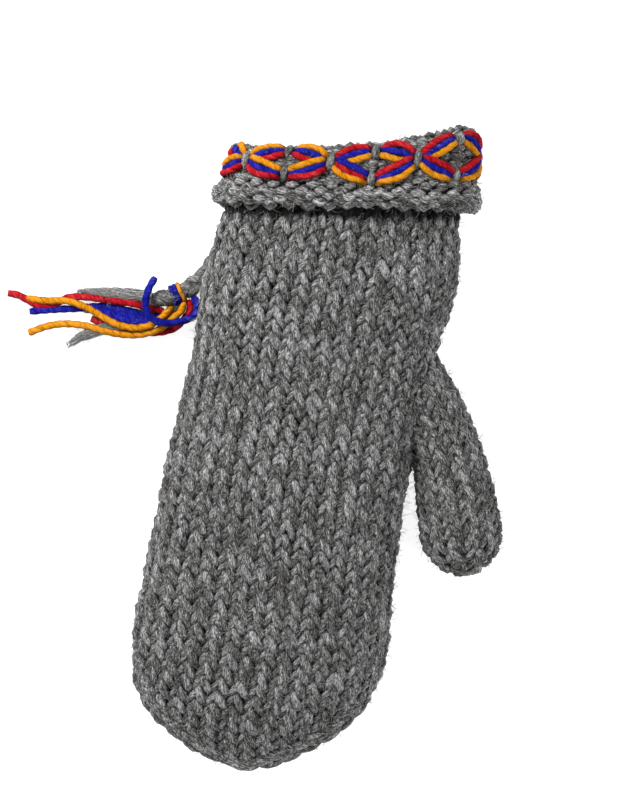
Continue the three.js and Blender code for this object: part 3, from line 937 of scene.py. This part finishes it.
# the large stitches that run down both edges of the fingertip
edgeChain = {
    "from": {0.25: 50.0, 0.75: 40.0}, "pitch": 9.4, "reach": 16.0, "halfWidth": 8.6, "inner": 0.5,
    "firstStitch": 1.0, "begin": 0.7, "wander": 0.5, "towardsBack": 5.2,
    "radius": 2.5, "seat": 0.85, "twist": 1.3, "steps": 14, "walkSteps": 200,
    # lit, bright and endShade set the strands' painted light and shade
    "rise": 0.9, "sink": 2.8, "lit": 0.25, "bright": 0.75, "endShade": 2.1,
    # the strands over, under and across the front of the tip
    "tip": 1.5, "frontMiddle": 1.2, "frontHalf": 9.0, "frontHeight": 12.2, "frontAlong": 2.4, "frontBow": 2.6,
    "frontThick": 1.15, "seed": 14,
}


def knitEdges():
    e = edgeChain
    yarn = Yarn(e["radius"], knit["twistLength"] * e["twist"], 5)
    random = np.random.default_rng(e["seed"])
    share = np.linspace(0, 1, e["steps"])
    ends = np.abs(2 * share - 1)
    out = e["rise"] - e["sink"] * ends**2.4
    thick = 0.62 + 0.5 * np.sin(np.pi * share) ** 0.8
    # painted light and shade: each strand is brighter in its middle and darker at its ends
    shade = e["bright"] - e["endShade"] * ends**5

    def strand(turn, along):
        # painted light from above: the flank shade is taken from a direction tilted up
        away = hand.away(turn, along) + (0, 0, e["lit"])
        away /= np.linalg.norm(away, axis=1, keepdims=True)
        points = hand.at(turn, along, out - e["radius"] * e["seat"])
        points[:, 2] = np.maximum(points[:, 2], threadClear * e["radius"] * thick)
        yarn.line(points, thick, None, away, shade)

    for side, towards in ((0.25, -1), (0.75, 1)):
        alongs = np.linspace(e["begin"], e["from"][side], e["walkSteps"])
        walk = walkAlong(hand.at(np.full(e["walkSteps"], side), alongs))
        for start in np.arange(e["firstStitch"], walk[-1] - e["reach"], e["pitch"]):
            for half in (-1, 1):
                begin = start + random.uniform(-e["wander"], e["wander"])
                along = np.interp(begin + share * e["reach"], walk, alongs)
                across = e["inner"] + (e["halfWidth"] - e["inner"]) * (1 - share) ** 0.8
                strand(side + towards * (e["towardsBack"] + half * across) / (4 * hand.quarter(along)), along)
    # one strand over the tip, one under it and one across its front
    for first in (0.75, 0.25):
        strand(first + 0.5 * share, np.full(len(share), e["tip"]))
    u = 2 * share - 1
    front = np.column_stack([e["frontMiddle"] + e["frontHalf"] * u, e["frontAlong"] + e["frontBow"] * u**2,
                             np.full(len(u), e["frontHeight"])])
    yarn.line(front, e["frontThick"] * thick, None, (0, -0.8, 0.6), shade)
    return yarn


# the body of the knitted wall behind its outer loops, so that no light passes between them. Its wool is near
# black, as painted shade in the gaps between the loops
wall = {"depth": 3.4, "cuffDepth": 2.7, "thickness": 0.8, "steps": 64, "pastMouth": 1.0,
        "handRows": ((6.0, 40, 2.0), (40, 276, 3.0)), "thumbRows": (5.0, 2.5), "cuffRows": (2.0, 67.0, 2.0)}


def wallGrid(form, places, depth):
    turns = np.arange(wall["steps"]) / wall["steps"]
    return np.array([form.at(turns, np.full(wall["steps"], float(place)), np.full(wall["steps"], -depth))
                     for place in places])


def gridMesh(name, grid, keep, closeStart=False):
    # quads between the rows of a closed grid, where all four corners are kept, and a fan at its start
    rows, steps = grid.shape[:2]
    points = grid.reshape(-1, 3)
    faces = []
    for near in range(0, (rows - 1) * steps, steps):
        for i in range(steps):
            after = (i + 1) % steps
            corners = (near + i, near + after, near + steps + after, near + steps + i)
            if keep[list(corners)].all():
                faces.append(corners)
    if closeStart:
        points = np.vstack([points, grid[0].mean(axis=0)])
        faces += [(rows * steps, (i + 1) % steps, i) for i in range(steps)]
    mesh = bpy.data.meshes.new(name)
    mesh.from_pydata([tuple(p) for p in (points + inFrame) * mm], [], faces)
    mesh.update()
    return mesh


def wallSheet(name, grid, keep, closeStart):
    mesh = gridMesh(name, grid, keep, closeStart)
    piece = bpy.data.objects.new(name, mesh)
    bpy.context.collection.objects.link(piece)
    edit = bmesh.new()
    edit.from_mesh(mesh)
    bmesh.ops.delete(edit, geom=[v for v in edit.verts if not v.link_faces], context="VERTS")
    bmesh.ops.recalc_face_normals(edit, faces=edit.faces)
    edit.to_mesh(mesh)
    edit.free()
    thicken = piece.modifiers.new("thickness", "SOLIDIFY")
    thicken.thickness = wall["thickness"] * mm
    thicken.offset = 0
    mesh.shade_smooth()
    return piece


def wallMitten():
    depth = wall["depth"]
    grid = wallGrid(hand, np.concatenate([np.arange(*rows) for rows in wall["handRows"]]), depth)
    flat = grid.reshape(-1, 3)
    keep = ~insideThumb(flat, knit["thumbInset"]) & (flat[:, 1] < mouthAt(flat[:, 0]) + wall["pastMouth"])
    handPiece = wallSheet("handWall", grid, keep, True)
    start, step = wall["thumbRows"]
    grid = wallGrid(thumb, np.arange(start, thumb.places[-1] - 1, step), depth)
    thumbPiece = wallSheet("thumbWall", grid, ~insideHand(grid.reshape(-1, 3), depth), True)
    grid = wallGrid(cuff, np.arange(*wall["cuffRows"]), wall["cuffDepth"])
    cuffPiece = wallSheet("cuffWall", grid, np.ones(grid.shape[0] * grid.shape[1], bool), False)
    return handPiece, thumbPiece, cuffPiece


# the coloured threads sewn on the cuff: pointed ovals, four sides each, three threads a side
sewing = {
    "unitWidth": 38.2, "firstX": -5.8,
    "low": 0.1, "middle": 0.46, "high": 0.82, "sag": {0: 2.0},
    "gapAcross": 1.9, "gapUp": 1.9, "spacing": 2.5, "fan": 0.68, "inward": 1.2, "bulgeStep": 0.5,
    "radius": 1.6, "out": 0.6, "sink": 2.4, "middleSink": 0.25, "over": 0.8, "steps": 24,
    # bright and endShade set the threads' painted light and shade
    "twistLength": 8.2, "plyDepth": 0.07, "sides": 10, "bright": 0.5, "endShade": 1.7,
    "greyRadius": 1.8, "greyReach": 7.8, "greySteps": 8, "greyOut": 0.5, "greySink": 2.8,
}
# r, y and b are red, yellow and blue, from the outer thread in, for an oval's four sides: upper
# left, upper right, lower right, lower left
sewnColours = ["rby rby ybr yrb", "rby rby ybr ybr", "rby rby ybr ybr", "ybr ybr rby rby", "rby rby ybr ybr",
               "ybr ybr rby rby", "ybr ybr rby rby"]


def sewUnit(yarns, start, colours, sag):
    s = sewing
    half = s["unitWidth"] / 2
    middleTurn = float(cuffTurn(start + half))
    crest, rollTop = (np.interp(middleTurn, cuff.turns, row) for row in (cuff.crests, cuff.rollTops))
    rise = (crest - rollTop) * float(cuffStep(middleTurn))
    level = s["middle"] * rise
    top, bottom = s["high"] * rise - sag, s["low"] * rise - sag
    before, after = half - s["gapUp"], half + s["gapUp"]
    left, right = np.array([s["gapAcross"], level]), np.array([2 * half - s["gapAcross"], level])
    sides = [(left, np.array([before, top])), (np.array([after, top]), right),
             (right, np.array([after, bottom])), (np.array([before, bottom]), left)]
    middle = np.array([half, level])
    share = np.linspace(0, 1, s["steps"])
    for number, ((a, b), names) in enumerate(zip(sides, colours.split())):
        below = number > 1
        chord = b - a
        normal = np.array([-chord[1], chord[0]]) / np.linalg.norm(chord)
        if (normal @ ((a + b) / 2 - middle)) < 0:
            normal = -normal
        for rank, name in zip((1, 0, -1), names):
            swell = np.sin(np.pi * share)
            off = (rank + 1) * s["spacing"] * (s["fan"] + (1 - s["fan"]) * swell)
            off = off + rank * s["bulgeStep"] * swell - s["inward"]
            path = a + share[:, None] * chord + off[:, None] * normal
            turn = cuffTurn(start + path[:, 0])
            place = cuffPlace(turn, path[:, 1] / rise)
            ends = np.abs(2 * share - 1)
            out = s["out"] - s["sink"] * ends**6 - s["middleSink"] * (rank == 0) + s["over"] * below
            # painted light and shade: each thread is brighter in its middle and darker at its ends
            shade = s["bright"] - s["endShade"] * ends**5
            points = cuff.at(turn, place, out)
            points[:, 2] = np.maximum(points[:, 2], yarnClear * s["radius"])
            yarns[name].line(points, 1.0, None, cuff.away(turn, place), shade)


def sewCuff():
    s = sewing
    yarns = {name: Yarn(s["radius"], s["twistLength"], 20 + n) for n, name in enumerate("ryb")}
    grey = Yarn(s["greyRadius"], knit["twistLength"], 24)
    turns = np.linspace(0.75, 1.0, 200)
    x = cuffMiddle[(turns * cuffForm["stepsRound"]).round().astype(int), 0]
    first = float(np.interp(np.interp(s["firstX"], x, turns), cuff.turns, cuffWalk))
    for n, colours in enumerate(sewnColours):
        start = first + n * s["unitWidth"]
        sag = s["sag"].get(n, 0.0)
        sewUnit(yarns, start, colours, sag)
        # grey stitches stand between the ovals and at their tips
        for offset, share, reach in ((0, s["middle"], 1.0), (s["unitWidth"] / 2, s["low"], 0.6),
                                     (s["unitWidth"] / 2, s["high"], 0.6)):
            up = np.linspace(-0.5, 0.5, s["greySteps"]) * s["greyReach"] * reach
            turn = cuffTurn(np.full(s["greySteps"], start + offset))
            place = cuffPlace(turn, share, up - (sag if offset else 0.0))
            out = s["greyOut"] - s["greySink"] * np.abs(up / up[-1]) ** 3
            thick = 0.8 + 0.3 * np.cos(np.linspace(-1.4, 1.4, s["greySteps"]))
            points = cuff.at(turn, place, out)
            points[:, 2] = np.maximum(points[:, 2], threadClear * s["greyRadius"] * thick)
            grey.line(points, thick, None, cuff.away(turn, place), 0.0)
    return yarns, grey


# the plaited cord lies on the table and ends in the tassel. Each point is (x, along, z)
cordRoute = [
    (-43, 242, 4.8), (-43.4, 236, 4.7), (-44.8, 229, 4.6), (-47, 222, 4.6), (-49.4, 215.5, 4.6),
    (-52.4, 210.2, 4.6), (-56.2, 205.8, 4.6), (-60.6, 202.2, 4.6), (-65.4, 199.2, 4.7), (-70.2, 196.8, 4.9),
]
plait = {"radius": 2.25, "half": 2.35, "lift": 1.3, "pitch": 17.0, "twistLength": 20.0, "pinchAt": 46.4,
         "pinch": 0.35, "pinchReach": 3.0, "ringReach": 3.9, "ringRadius": 1.15,
         "rings": (("b", 0.4), ("b", 2.2), ("y", -1.5)), "drop": 0.5,
         "lumpFrom": (-61.8, 199.9, 5.2), "lumpTo": (-74.2, 196.4, 4.9), "lumpRadius": 3.2, "lumpHalf": 1.3,
         "lumpSteps": 13}
lineSteps = 400  # of a smooth line, before it is evened out


def smoothLine(points, spacing):
    # a smooth line through given points, in even steps
    points = np.array(points, float)
    chord = walkAlong(points)
    fine = smoothColumns(np.column_stack([chord, points]), np.linspace(0, chord[-1], lineSteps))[:, 1:]
    run = walkAlong(fine)
    even = np.linspace(0, run[-1], max(int(run[-1] / spacing), 3) + 1)
    return np.column_stack([np.interp(even, run, fine[:, k]) for k in range(3)]), even


def sideways(line):
    heading = np.gradient(line, axis=0)
    side = np.column_stack([heading[:, 1], -heading[:, 0], np.zeros(len(line))])
    return side / np.linalg.norm(side, axis=1, keepdims=True)


def plaitCord():
    p = plait
    yarn = Yarn(p["radius"], p["twistLength"], 30)
    line, run = smoothLine(cordRoute, 0.9)
    side = sideways(line)
    # pinched by the rings, and as thin from there on, inside the end lump
    near = np.exp(-(np.minimum(run - p["pinchAt"], 0) / p["pinchReach"]) ** 2)
    squeeze = 1 - p["pinch"] * near
    for n in range(3):
        angle = 2 * math.pi * (run / p["pitch"] + n / 3)
        points = line + side * (p["half"] * squeeze * np.sin(angle))[:, None]
        points[:, 2] += p["lift"] * squeeze * np.sin(2 * angle) - p["drop"]
        yarn.line(points, squeeze)
    lump = Yarn(p["radius"], p["twistLength"], 31)
    share = np.linspace(0, 1, p["lumpSteps"])
    start, end = np.array(p["lumpFrom"]), np.array(p["lumpTo"])
    for n in range(3):
        angle = 2 * math.pi * (share * 0.5 + n / 3)
        body = np.sin(np.pi * np.clip(share * 0.92 + 0.04, 0, 1)) ** 0.5
        twist = np.column_stack([0.5 * np.sin(angle), 0.84 * np.sin(angle), np.cos(angle)])
        points = start + share[:, None] * (end - start) + twist * (p["lumpHalf"] * body)[:, None]
        lump.line(points, body * p["lumpRadius"] / p["radius"])
    rings = []
    for name, shift in p["rings"]:
        place = int(np.argmin(np.abs(run - p["pinchAt"] - shift)))
        angle = np.linspace(0, 2 * math.pi, 21)
        ring = line[place] + side[place] * (p["ringReach"] * np.sin(angle))[:, None]
        ring[:, 2] += (p["ringReach"] - 0.8) * np.cos(angle) - p["drop"]
        rings.append((name, ring))
    return yarn, lump, rings


# the tassel's yarns in the photograph's order, each as (colour, points)
tasselYarns = [
    ("r", [(-66.5, 192.4, 4.2), (-71.4, 192.8, 5.4), (-76.7, 193.3, 6.4), (-81.3, 193.6, 6.2),
           (-86.4, 193.5, 5.8), (-94, 193.2, 5.2), (-101.7, 192.9, 4.6), (-109.6, 191.3, 3.4),
           (-115, 187.3, 1.9), (-120.8, 185.4, 1.8), (-126.5, 187, 1.8), (-131.5, 188.6, 1.8),
           (-136.1, 188.6, 1.8)]),
    ("y", [(-63.6, 195.4, 4.6), (-64.7, 193.6, 6), (-66.4, 191.1, 6.6), (-68.2, 188.8, 6.6),
           (-71.2, 185.9, 6.6), (-76.9, 183.4, 6.5), (-84.8, 183.2, 6.4), (-92, 185.2, 6),
           (-100.8, 188.4, 5.4), (-110, 189.8, 4.6), (-118.6, 188.3, 3.6), (-127.4, 187.8, 2)]),
    ("y", [(-58.6, 198.2, 5.4), (-59.4, 194, 6.4), (-62.7, 190, 6.2), (-65.8, 186, 5.4),
           (-69.6, 183.2, 5), (-76.4, 180.5, 4.6), (-84, 179.4, 4.4), (-92, 179.6, 4.2),
           (-99.4, 180.4, 3.6), (-108.9, 179.7, 2.2), (-116.6, 177.2, 1.8), (-124.1, 172.9, 1.7)]),
    ("b", [(-68, 190.2, 5), (-75.9, 189.4, 4.2), (-80.7, 190.1, 3.6), (-85.8, 190.5, 3.2),
           (-90.2, 190.7, 2.8), (-96.9, 189.6, 2.1), (-103.3, 187.6, 1.8), (-108.8, 186.4, 1.8),
           (-117.5, 184.4, 1.8), (-125.3, 182.3, 1.8)]),
    ("b", [(-66.5, 190.2, 4.4), (-74, 188.1, 4.2), (-82, 187.9, 3.8), (-88, 188.4, 3.4),
           (-93, 188.9, 2.8)]),
    ("b", [(-67, 188.9, 6), (-73.7, 186.4, 5), (-80.5, 185.8, 4.4), (-89, 186.6, 3.8), (-96, 188.4, 3),
           (-102, 188.6, 2.2)]),
    ("b", [(-55.6, 201.4, 4.4), (-53.4, 199.2, 5.2), (-52.6, 196.4, 5.8), (-53.2, 193.2, 6.8),
           (-55.6, 191, 8), (-60, 189.1, 9.4), (-63.6, 187.9, 10.2), (-67.9, 187.6, 10.6),
           (-71.2, 188.6, 10.9), (-73.9, 190.9, 11.1), (-75.3, 194.3, 11.2), (-75.5, 198.6, 11),
           (-74.7, 202.5, 10.2), (-73.1, 206.6, 9.2)]),
    ("r", [(-57.2, 199.4, 4), (-55.6, 197, 4.6), (-56.2, 193.2, 4.6), (-57.9, 190.3, 4.2),
           (-60.1, 186.9, 3.4), (-63.4, 184.7, 2.8), (-68, 183, 2.2), (-76.3, 181.6, 1.8),
           (-83.1, 181.6, 1.7), (-90.1, 182.2, 1.7), (-98, 184, 1.7)]),
]
# grey locks under them, as (width, points)
tasselLocks = [
    (7.4, [(-70, 196.6, 5.4), (-77.5, 197.5, 5), (-86.9, 196.5, 4.4), (-95.6, 195.3, 3.8),
           (-103.3, 194.6, 3.2), (-107.5, 194.2, 2.8)]),
    (6.6, [(-72, 188, 3.6), (-80, 184.4, 3), (-90, 181, 2.8), (-95.5, 178.3, 2.7), (-100.9, 175.2, 2.5),
           (-104.5, 171.9, 2.2), (-107.4, 169.2, 1.9)]),
    (6, [(-74, 190, 1.4), (-82, 189, 1.3), (-90.9, 188.6, 1.2), (-97, 188.2, 1.2), (-103.5, 187, 1.2)]),
    (6, [(-61, 197, 3.2), (-63.5, 193, 2.8), (-67, 189.5, 2.4), (-72, 187, 2.2)]),
]
tassel = {"radius": 1.68, "twistLength": 8.4, "plyDepth": 0.07, "sides": 10, "spacing": 0.95,
          "lockFibres": 120, "fibreRadius": 0.36, "fibreTwist": 40.0, "fibreSeed": 45, "lowestFibre": 0.5,
          "lockSpacing": 1.5, "lockEnd": 0.4, "lockFlat": 3.2,
          "clumps": 6, "clumpShade": 0.8, "clumpWander": (2.0, 9.0)}


def lockBody(share):
    # how full a lock is along its length: a blunt end that narrows over its last third
    taper = 1 - (1 - tassel["lockEnd"]) * share**3
    return np.sin(np.pi * np.clip(share * 0.5 + 0.12, 0, 0.5)) ** 0.5 * taper


def makeTassel():
    yarns = {name: Yarn(tassel["radius"], tassel["twistLength"], 40 + n) for n, name in enumerate("ryb")}
    for name, route in tasselYarns:
        line, run = smoothLine(route, tassel["spacing"])
        thick = np.clip(np.minimum(run + 0.6, run[-1] - run + 1.1) / 1.3, 0.55, 1)
        yarns[name].line(line, thick, paintedLight=1.0)
    grey = Yarn(tassel["fibreRadius"], tassel["fibreTwist"], 44)
    random = np.random.default_rng(tassel["fibreSeed"])
    for width, route in tasselLocks:
        line, run = smoothLine(route, tassel["lockSpacing"])
        side = sideways(line)
        s = run / run[-1]
        body = lockBody(s)
        for n in range(tassel["lockFibres"]):
            turnAt, reach = random.uniform(0, 2 * math.pi), random.uniform(0.15, 1) ** 0.5
            drift = turnAt + s * random.uniform(-2.2, 2.2)
            stop = random.uniform(0.8, 1.0)
            points = line + side * (np.cos(drift) * reach * (width / 2 - 0.5) * body)[:, None]
            up = np.sin(drift) * reach * width / tassel["lockFlat"] * body
            points[:, 2] = np.maximum(points[:, 2] + up, tassel["lowestFibre"])
            count = max(int(stop * (len(points) - 1)), 4) + 1
            wave = random.uniform(0.2, 0.5) * np.sin(s * random.uniform(15, 40) + random.uniform(0, 6))
            points = points + side * wave[:, None]
            # painted shade: fibres lower in the lock are darker, and fibres that lie side by side share a
            # painted shade, so that the lock shows its clumps
            size, rate = tassel["clumpWander"]
            clump = np.sin(tassel["clumps"] * drift + size * np.sin(rate * s))
            shade = np.sin(drift) * reach + tassel["clumpShade"] * clump
            # painted light from above: the flank shade is taken from straight up
            grey.line(points[:count], np.linspace(1.2, 0.25, count), None, (0, 0, 1), shade[:count])
    return yarns, grey


def colourStops(colour, lift=0.05):
    base = np.array(colour)
    return [(0.0, tuple(base * 0.3)), (0.35, tuple(base * 0.78)), (0.62, tuple(base)),
            (1.0, tuple(base + (1 - base) * lift))]


yarnColours = {"r": (0.50, 0.004, 0.013), "y": (0.78, 0.29, 0.004), "b": (0.007, 0.009, 0.33)}
names = {"r": "red", "y": "yellow", "b": "blue"}
sewnLook = {"stretch": 3.2, "scale": 2.3, "contrast": 0.85, "patchDepth": 0.08, "bump": 0.45, "sheen": 0.02,
            "gloss": 0.06, "flankShade": 0.5, "grooveShade": 0.2, "depth": 0.6}
sewnWool = {name: woolMaterial(label + "Wool", colourStops(yarnColours[name]), sewing["radius"], **sewnLook)
            for name, label in names.items()}
lockStops = [(0.0, (0.05, 0.049, 0.047)), (0.5, (0.32, 0.313, 0.303)), (1.0, (0.66, 0.65, 0.63))]
lockWool = woolMaterial("lockWool", lockStops, tassel["fibreRadius"], contrast=1.2, flankShade=0.4, depth=0.55)
plaitStops = [(0.0, (0.014, 0.0137, 0.0134)), (0.35, (0.065, 0.064, 0.0625)), (0.6, (0.18, 0.178, 0.175)),
              (1.0, (0.44, 0.436, 0.43))]
plaitWool = woolMaterial("plaitWool", plaitStops, plait["radius"], stretch=2.6, scale=2.8, contrast=0.85,
                         flankShade=0.6, depth=0.0)
# painted shade: the wall's wool is near black, much darker than the grey wool
shadedWallWool = woolMaterial("shadedWallWool", [(0.0, (0.012, 0.012, 0.012)), (1.0, (0.06, 0.058, 0.056))], 3.0)


def growYarn(yarn, name, wool, slotName, nodes, sides=8, plyDepth=0.1):
    piece = grow(yarn.mesh(name), yarnTree, name,
                 **{"Sides": sides, "Plies": 2.0, "Ply Depth": plyDepth, "Wool": wool})
    dress(piece, slotName, *nodes)
    print(name, "faces", len(piece.data.polygons))
    return piece


backYarn, palmYarn = knitHand()
growYarn(backYarn, "backStitches", greyWool, "grey_wool_knit", ["hand"])
growYarn(palmYarn, "palmStitches", greyWool, "grey_wool_knit", ["hand"])
growYarn(knitEdges(), "edgeStitches", greyWool, "grey_wool_knit", ["hand"])
growYarn(knitThumb(), "thumbStitches", greyWool, "grey_wool_knit", ["thumb"])
growYarn(knitCuff(), "cuffStitches", cuffWool, "grey_wool_purl", ["turned_cuff"])
for piece, slotName, node in zip(wallMitten(), ("grey_wool_knit", "grey_wool_knit", "grey_wool_purl"),
                                 ("hand", "thumb", "turned_cuff")):
    piece.data.materials.append(shadedWallWool)
    dress(piece, slotName, node)
print("stitches laid")

sewnYarns, greySewn = sewCuff()
for name, yarn in sewnYarns.items():
    growYarn(yarn, names[name] + "Threads", sewnWool[name], "coloured_wool_yarn", ["turned_cuff"],
             sewing["sides"], sewing["plyDepth"])
growYarn(greySewn, "greyThreads", plaitWool, "grey_wool_purl", ["turned_cuff"])
print("cuff sewn")

plaitYarn, lumpYarn, rings = plaitCord()
cordPiece = growYarn(plaitYarn, "plaitStrands", plaitWool, "grey_wool_plait", ["plaited_cord"], 10, 0.12)
tasselStrands, lockYarn = makeTassel()
for name, ring in rings:
    tasselStrands[name].line(ring, plait["ringRadius"] / tassel["radius"], paintedLight=1.0)
tasselPieces = [growYarn(yarn, names[name] + "Tassel", sewnWool[name], "coloured_wool_yarn", ["tassel"],
                         tassel["sides"], tassel["plyDepth"]) for name, yarn in tasselStrands.items()]
tasselPieces.append(growYarn(lockYarn, "greyLocks", lockWool, "grey_wool_plait", ["tassel"], 4, 0.0))
tasselPieces.append(growYarn(lumpYarn, "plaitEnd", plaitWool, "grey_wool_plait", ["tassel"], 10, 0.08))
cordLine, cordRun = smoothLine(cordRoute, 1.0)
print("cord length", cordRun[-1])

# hairs over the whole mitten, on a sheet just under the stitches' tops
fuzz = {
    "hairs": 190000.0, "length": 0.0032, "thickness": 0.00006, "lean": 1.1, "depth": 1.0, "clear": 5.0,
    "inset": 0.5, "handRows": (1.5, 262, 3.0), "thumbRows": (1.5, 2.5), "cuffRows": (7.0, 68.0, 2.0),
    "lockHairs": 1700000.0, "lockLength": 0.0032, "lockClear": 2.4, "lockDepth": 0.7, "lockStep": 3.0,
    "lockSeed": 31, "cordHairs": 900000.0, "cordRadius": 3.8, "cordStep": 2.0, "cordSeed": 36,
    "sheetSides": 12, "floor": 0.0003,
}


def hairPaint():
    paint = bpy.data.materials.new("hairWool")
    paint.use_nodes = True
    shader = paint.node_tree.nodes["Principled BSDF"]
    shader.inputs["Base Color"].default_value = (0.24, 0.235, 0.228, 1)
    shader.inputs["Roughness"].default_value = 0.8
    shader.inputs["Specular IOR Level"].default_value = 0.2
    return paint


def sheetOf(name, grid, clear, keep=True):
    return gridMesh(name, grid, (grid.reshape(-1, 3)[:, 2] > clear) & keep)


def tubeGrid(line, radius):
    # a closed tube round a line, as rows of points
    n = fuzz["sheetSides"]
    angle = 2 * math.pi * np.arange(n) / n
    side = sideways(line)
    radius = np.broadcast_to(radius, (len(line),))
    grid = line[:, None, :] + side[:, None, :] * (radius[:, None] * np.cos(angle))[:, :, None]
    grid[:, :, 2] += radius[:, None] * np.sin(angle)
    return grid


def fuzzPiece(name, mesh, slotName, nodes, hairs, length, seed, hair):
    piece = grow(mesh, fuzzTree, name, Hairs=hairs, Length=length, Thickness=fuzz["thickness"],
                 Lean=fuzz["lean"], Seed=seed, Wool=hair)
    # hairs under the mitten lie flat on the table
    for vertex in piece.data.vertices:
        vertex.co.z = max(vertex.co.z, fuzz["floor"])
    dress(piece, slotName, *nodes)
    print(name, "faces", len(piece.data.polygons))


def growTasselFuzz(hair):
    for number, (width, route) in enumerate(tasselLocks):
        line, run = smoothLine(route, fuzz["lockStep"])
        grid = tubeGrid(line, (width / 2 - fuzz["lockDepth"]) * lockBody(run / run[-1]))
        fuzzPiece("lockHairs_%d" % (number + 1), sheetOf("lock", grid, fuzz["lockClear"]), "grey_wool_plait",
                  ["tassel"], fuzz["lockHairs"], fuzz["lockLength"], fuzz["lockSeed"] + number, hair)
    line, run = smoothLine(cordRoute, fuzz["cordStep"])
    sheet = sheetOf("cord", tubeGrid(line, fuzz["cordRadius"]), fuzz["lockClear"])
    fuzzPiece("cordHairs", sheet, "grey_wool_plait", ["plaited_cord"], fuzz["cordHairs"], fuzz["lockLength"],
              fuzz["cordSeed"], hair)


def growFuzz(hair):
    depth = fuzz["depth"]
    start, step = fuzz["thumbRows"]
    handGrid = wallGrid(hand, np.arange(*fuzz["handRows"]), depth)
    thumbGrid = wallGrid(thumb, np.arange(start, thumb.places[-1] - 1, step), depth)
    cuffGrid = wallGrid(cuff, np.arange(*fuzz["cuffRows"]), depth)
    handKeep = ~insideThumb(handGrid.reshape(-1, 3), fuzz["inset"])
    thumbKeep = ~insideHand(thumbGrid.reshape(-1, 3), fuzz["inset"])
    for name, grid, keep, slotName, seed in (
            ("handHairs", handGrid, handKeep, "grey_wool_knit", 7),
            ("thumbHairs", thumbGrid, thumbKeep, "grey_wool_knit", 8),
            ("cuffHairs", cuffGrid, True, "grey_wool_purl", 9)):
        sheet = sheetOf(name, grid, fuzz["clear"], keep)
        fuzzPiece(name, sheet, slotName, [], fuzz["hairs"], fuzz["length"], seed, hair)


hairWool = hairPaint()
growFuzz(hairWool)
growTasselFuzz(hairWool)
print("hairs grown")


# floor and light
studio = {
    "floorTone": 0.5, "floorGlow": 0.86, "floorReach": 4.0, "worldStrength": 0.38,
    # name, place, power, size
    "lamps": [("keyLight", (-1.3, 0.85, 1.3), 55.5, 0.8), ("fillLight", (1.9, -0.5, 1.5), 32.0, 1.4)],
}


def buildStudio():
    floor = bpy.data.meshes.new("studioFloor")
    reach = studio["floorReach"]
    corners = [(-reach, -reach, 0), (reach, -reach, 0), (reach, reach, 0), (-reach, reach, 0)]
    floor.from_pydata(corners, [], [(0, 1, 2, 3)])
    plane = bpy.data.objects.new("studioFloor", floor)
    bpy.context.collection.objects.link(plane)
    paint = bpy.data.materials.new("studioFloor")
    paint.use_nodes = True
    shader = paint.node_tree.nodes["Principled BSDF"]
    shader.inputs["Base Color"].default_value = (studio["floorTone"],) * 3 + (1,)
    shader.inputs["Roughness"].default_value = 0.9
    shader.inputs["Emission Color"].default_value = (1, 1, 1, 1)
    shader.inputs["Emission Strength"].default_value = studio["floorGlow"]
    floor.materials.append(paint)
    world = bpy.data.worlds.new("studio")
    world.use_nodes = True
    world.node_tree.nodes["Background"].inputs["Color"].default_value = (1, 1, 1, 1)
    world.node_tree.nodes["Background"].inputs["Strength"].default_value = studio["worldStrength"]
    bpy.context.scene.world = world
    for name, place, power, size in studio["lamps"]:
        data = bpy.data.lights.new(name, "AREA")
        data.energy = power
        data.size = size
        lamp = bpy.data.objects.new(name, data)
        lamp.location = place
        lamp.rotation_euler = (-Vector(place)).to_track_quat("-Z", "Y").to_euler()
        bpy.context.collection.objects.link(lamp)
    bpy.context.scene.view_settings.view_transform = "Standard"


buildStudio()
print("studio ready")
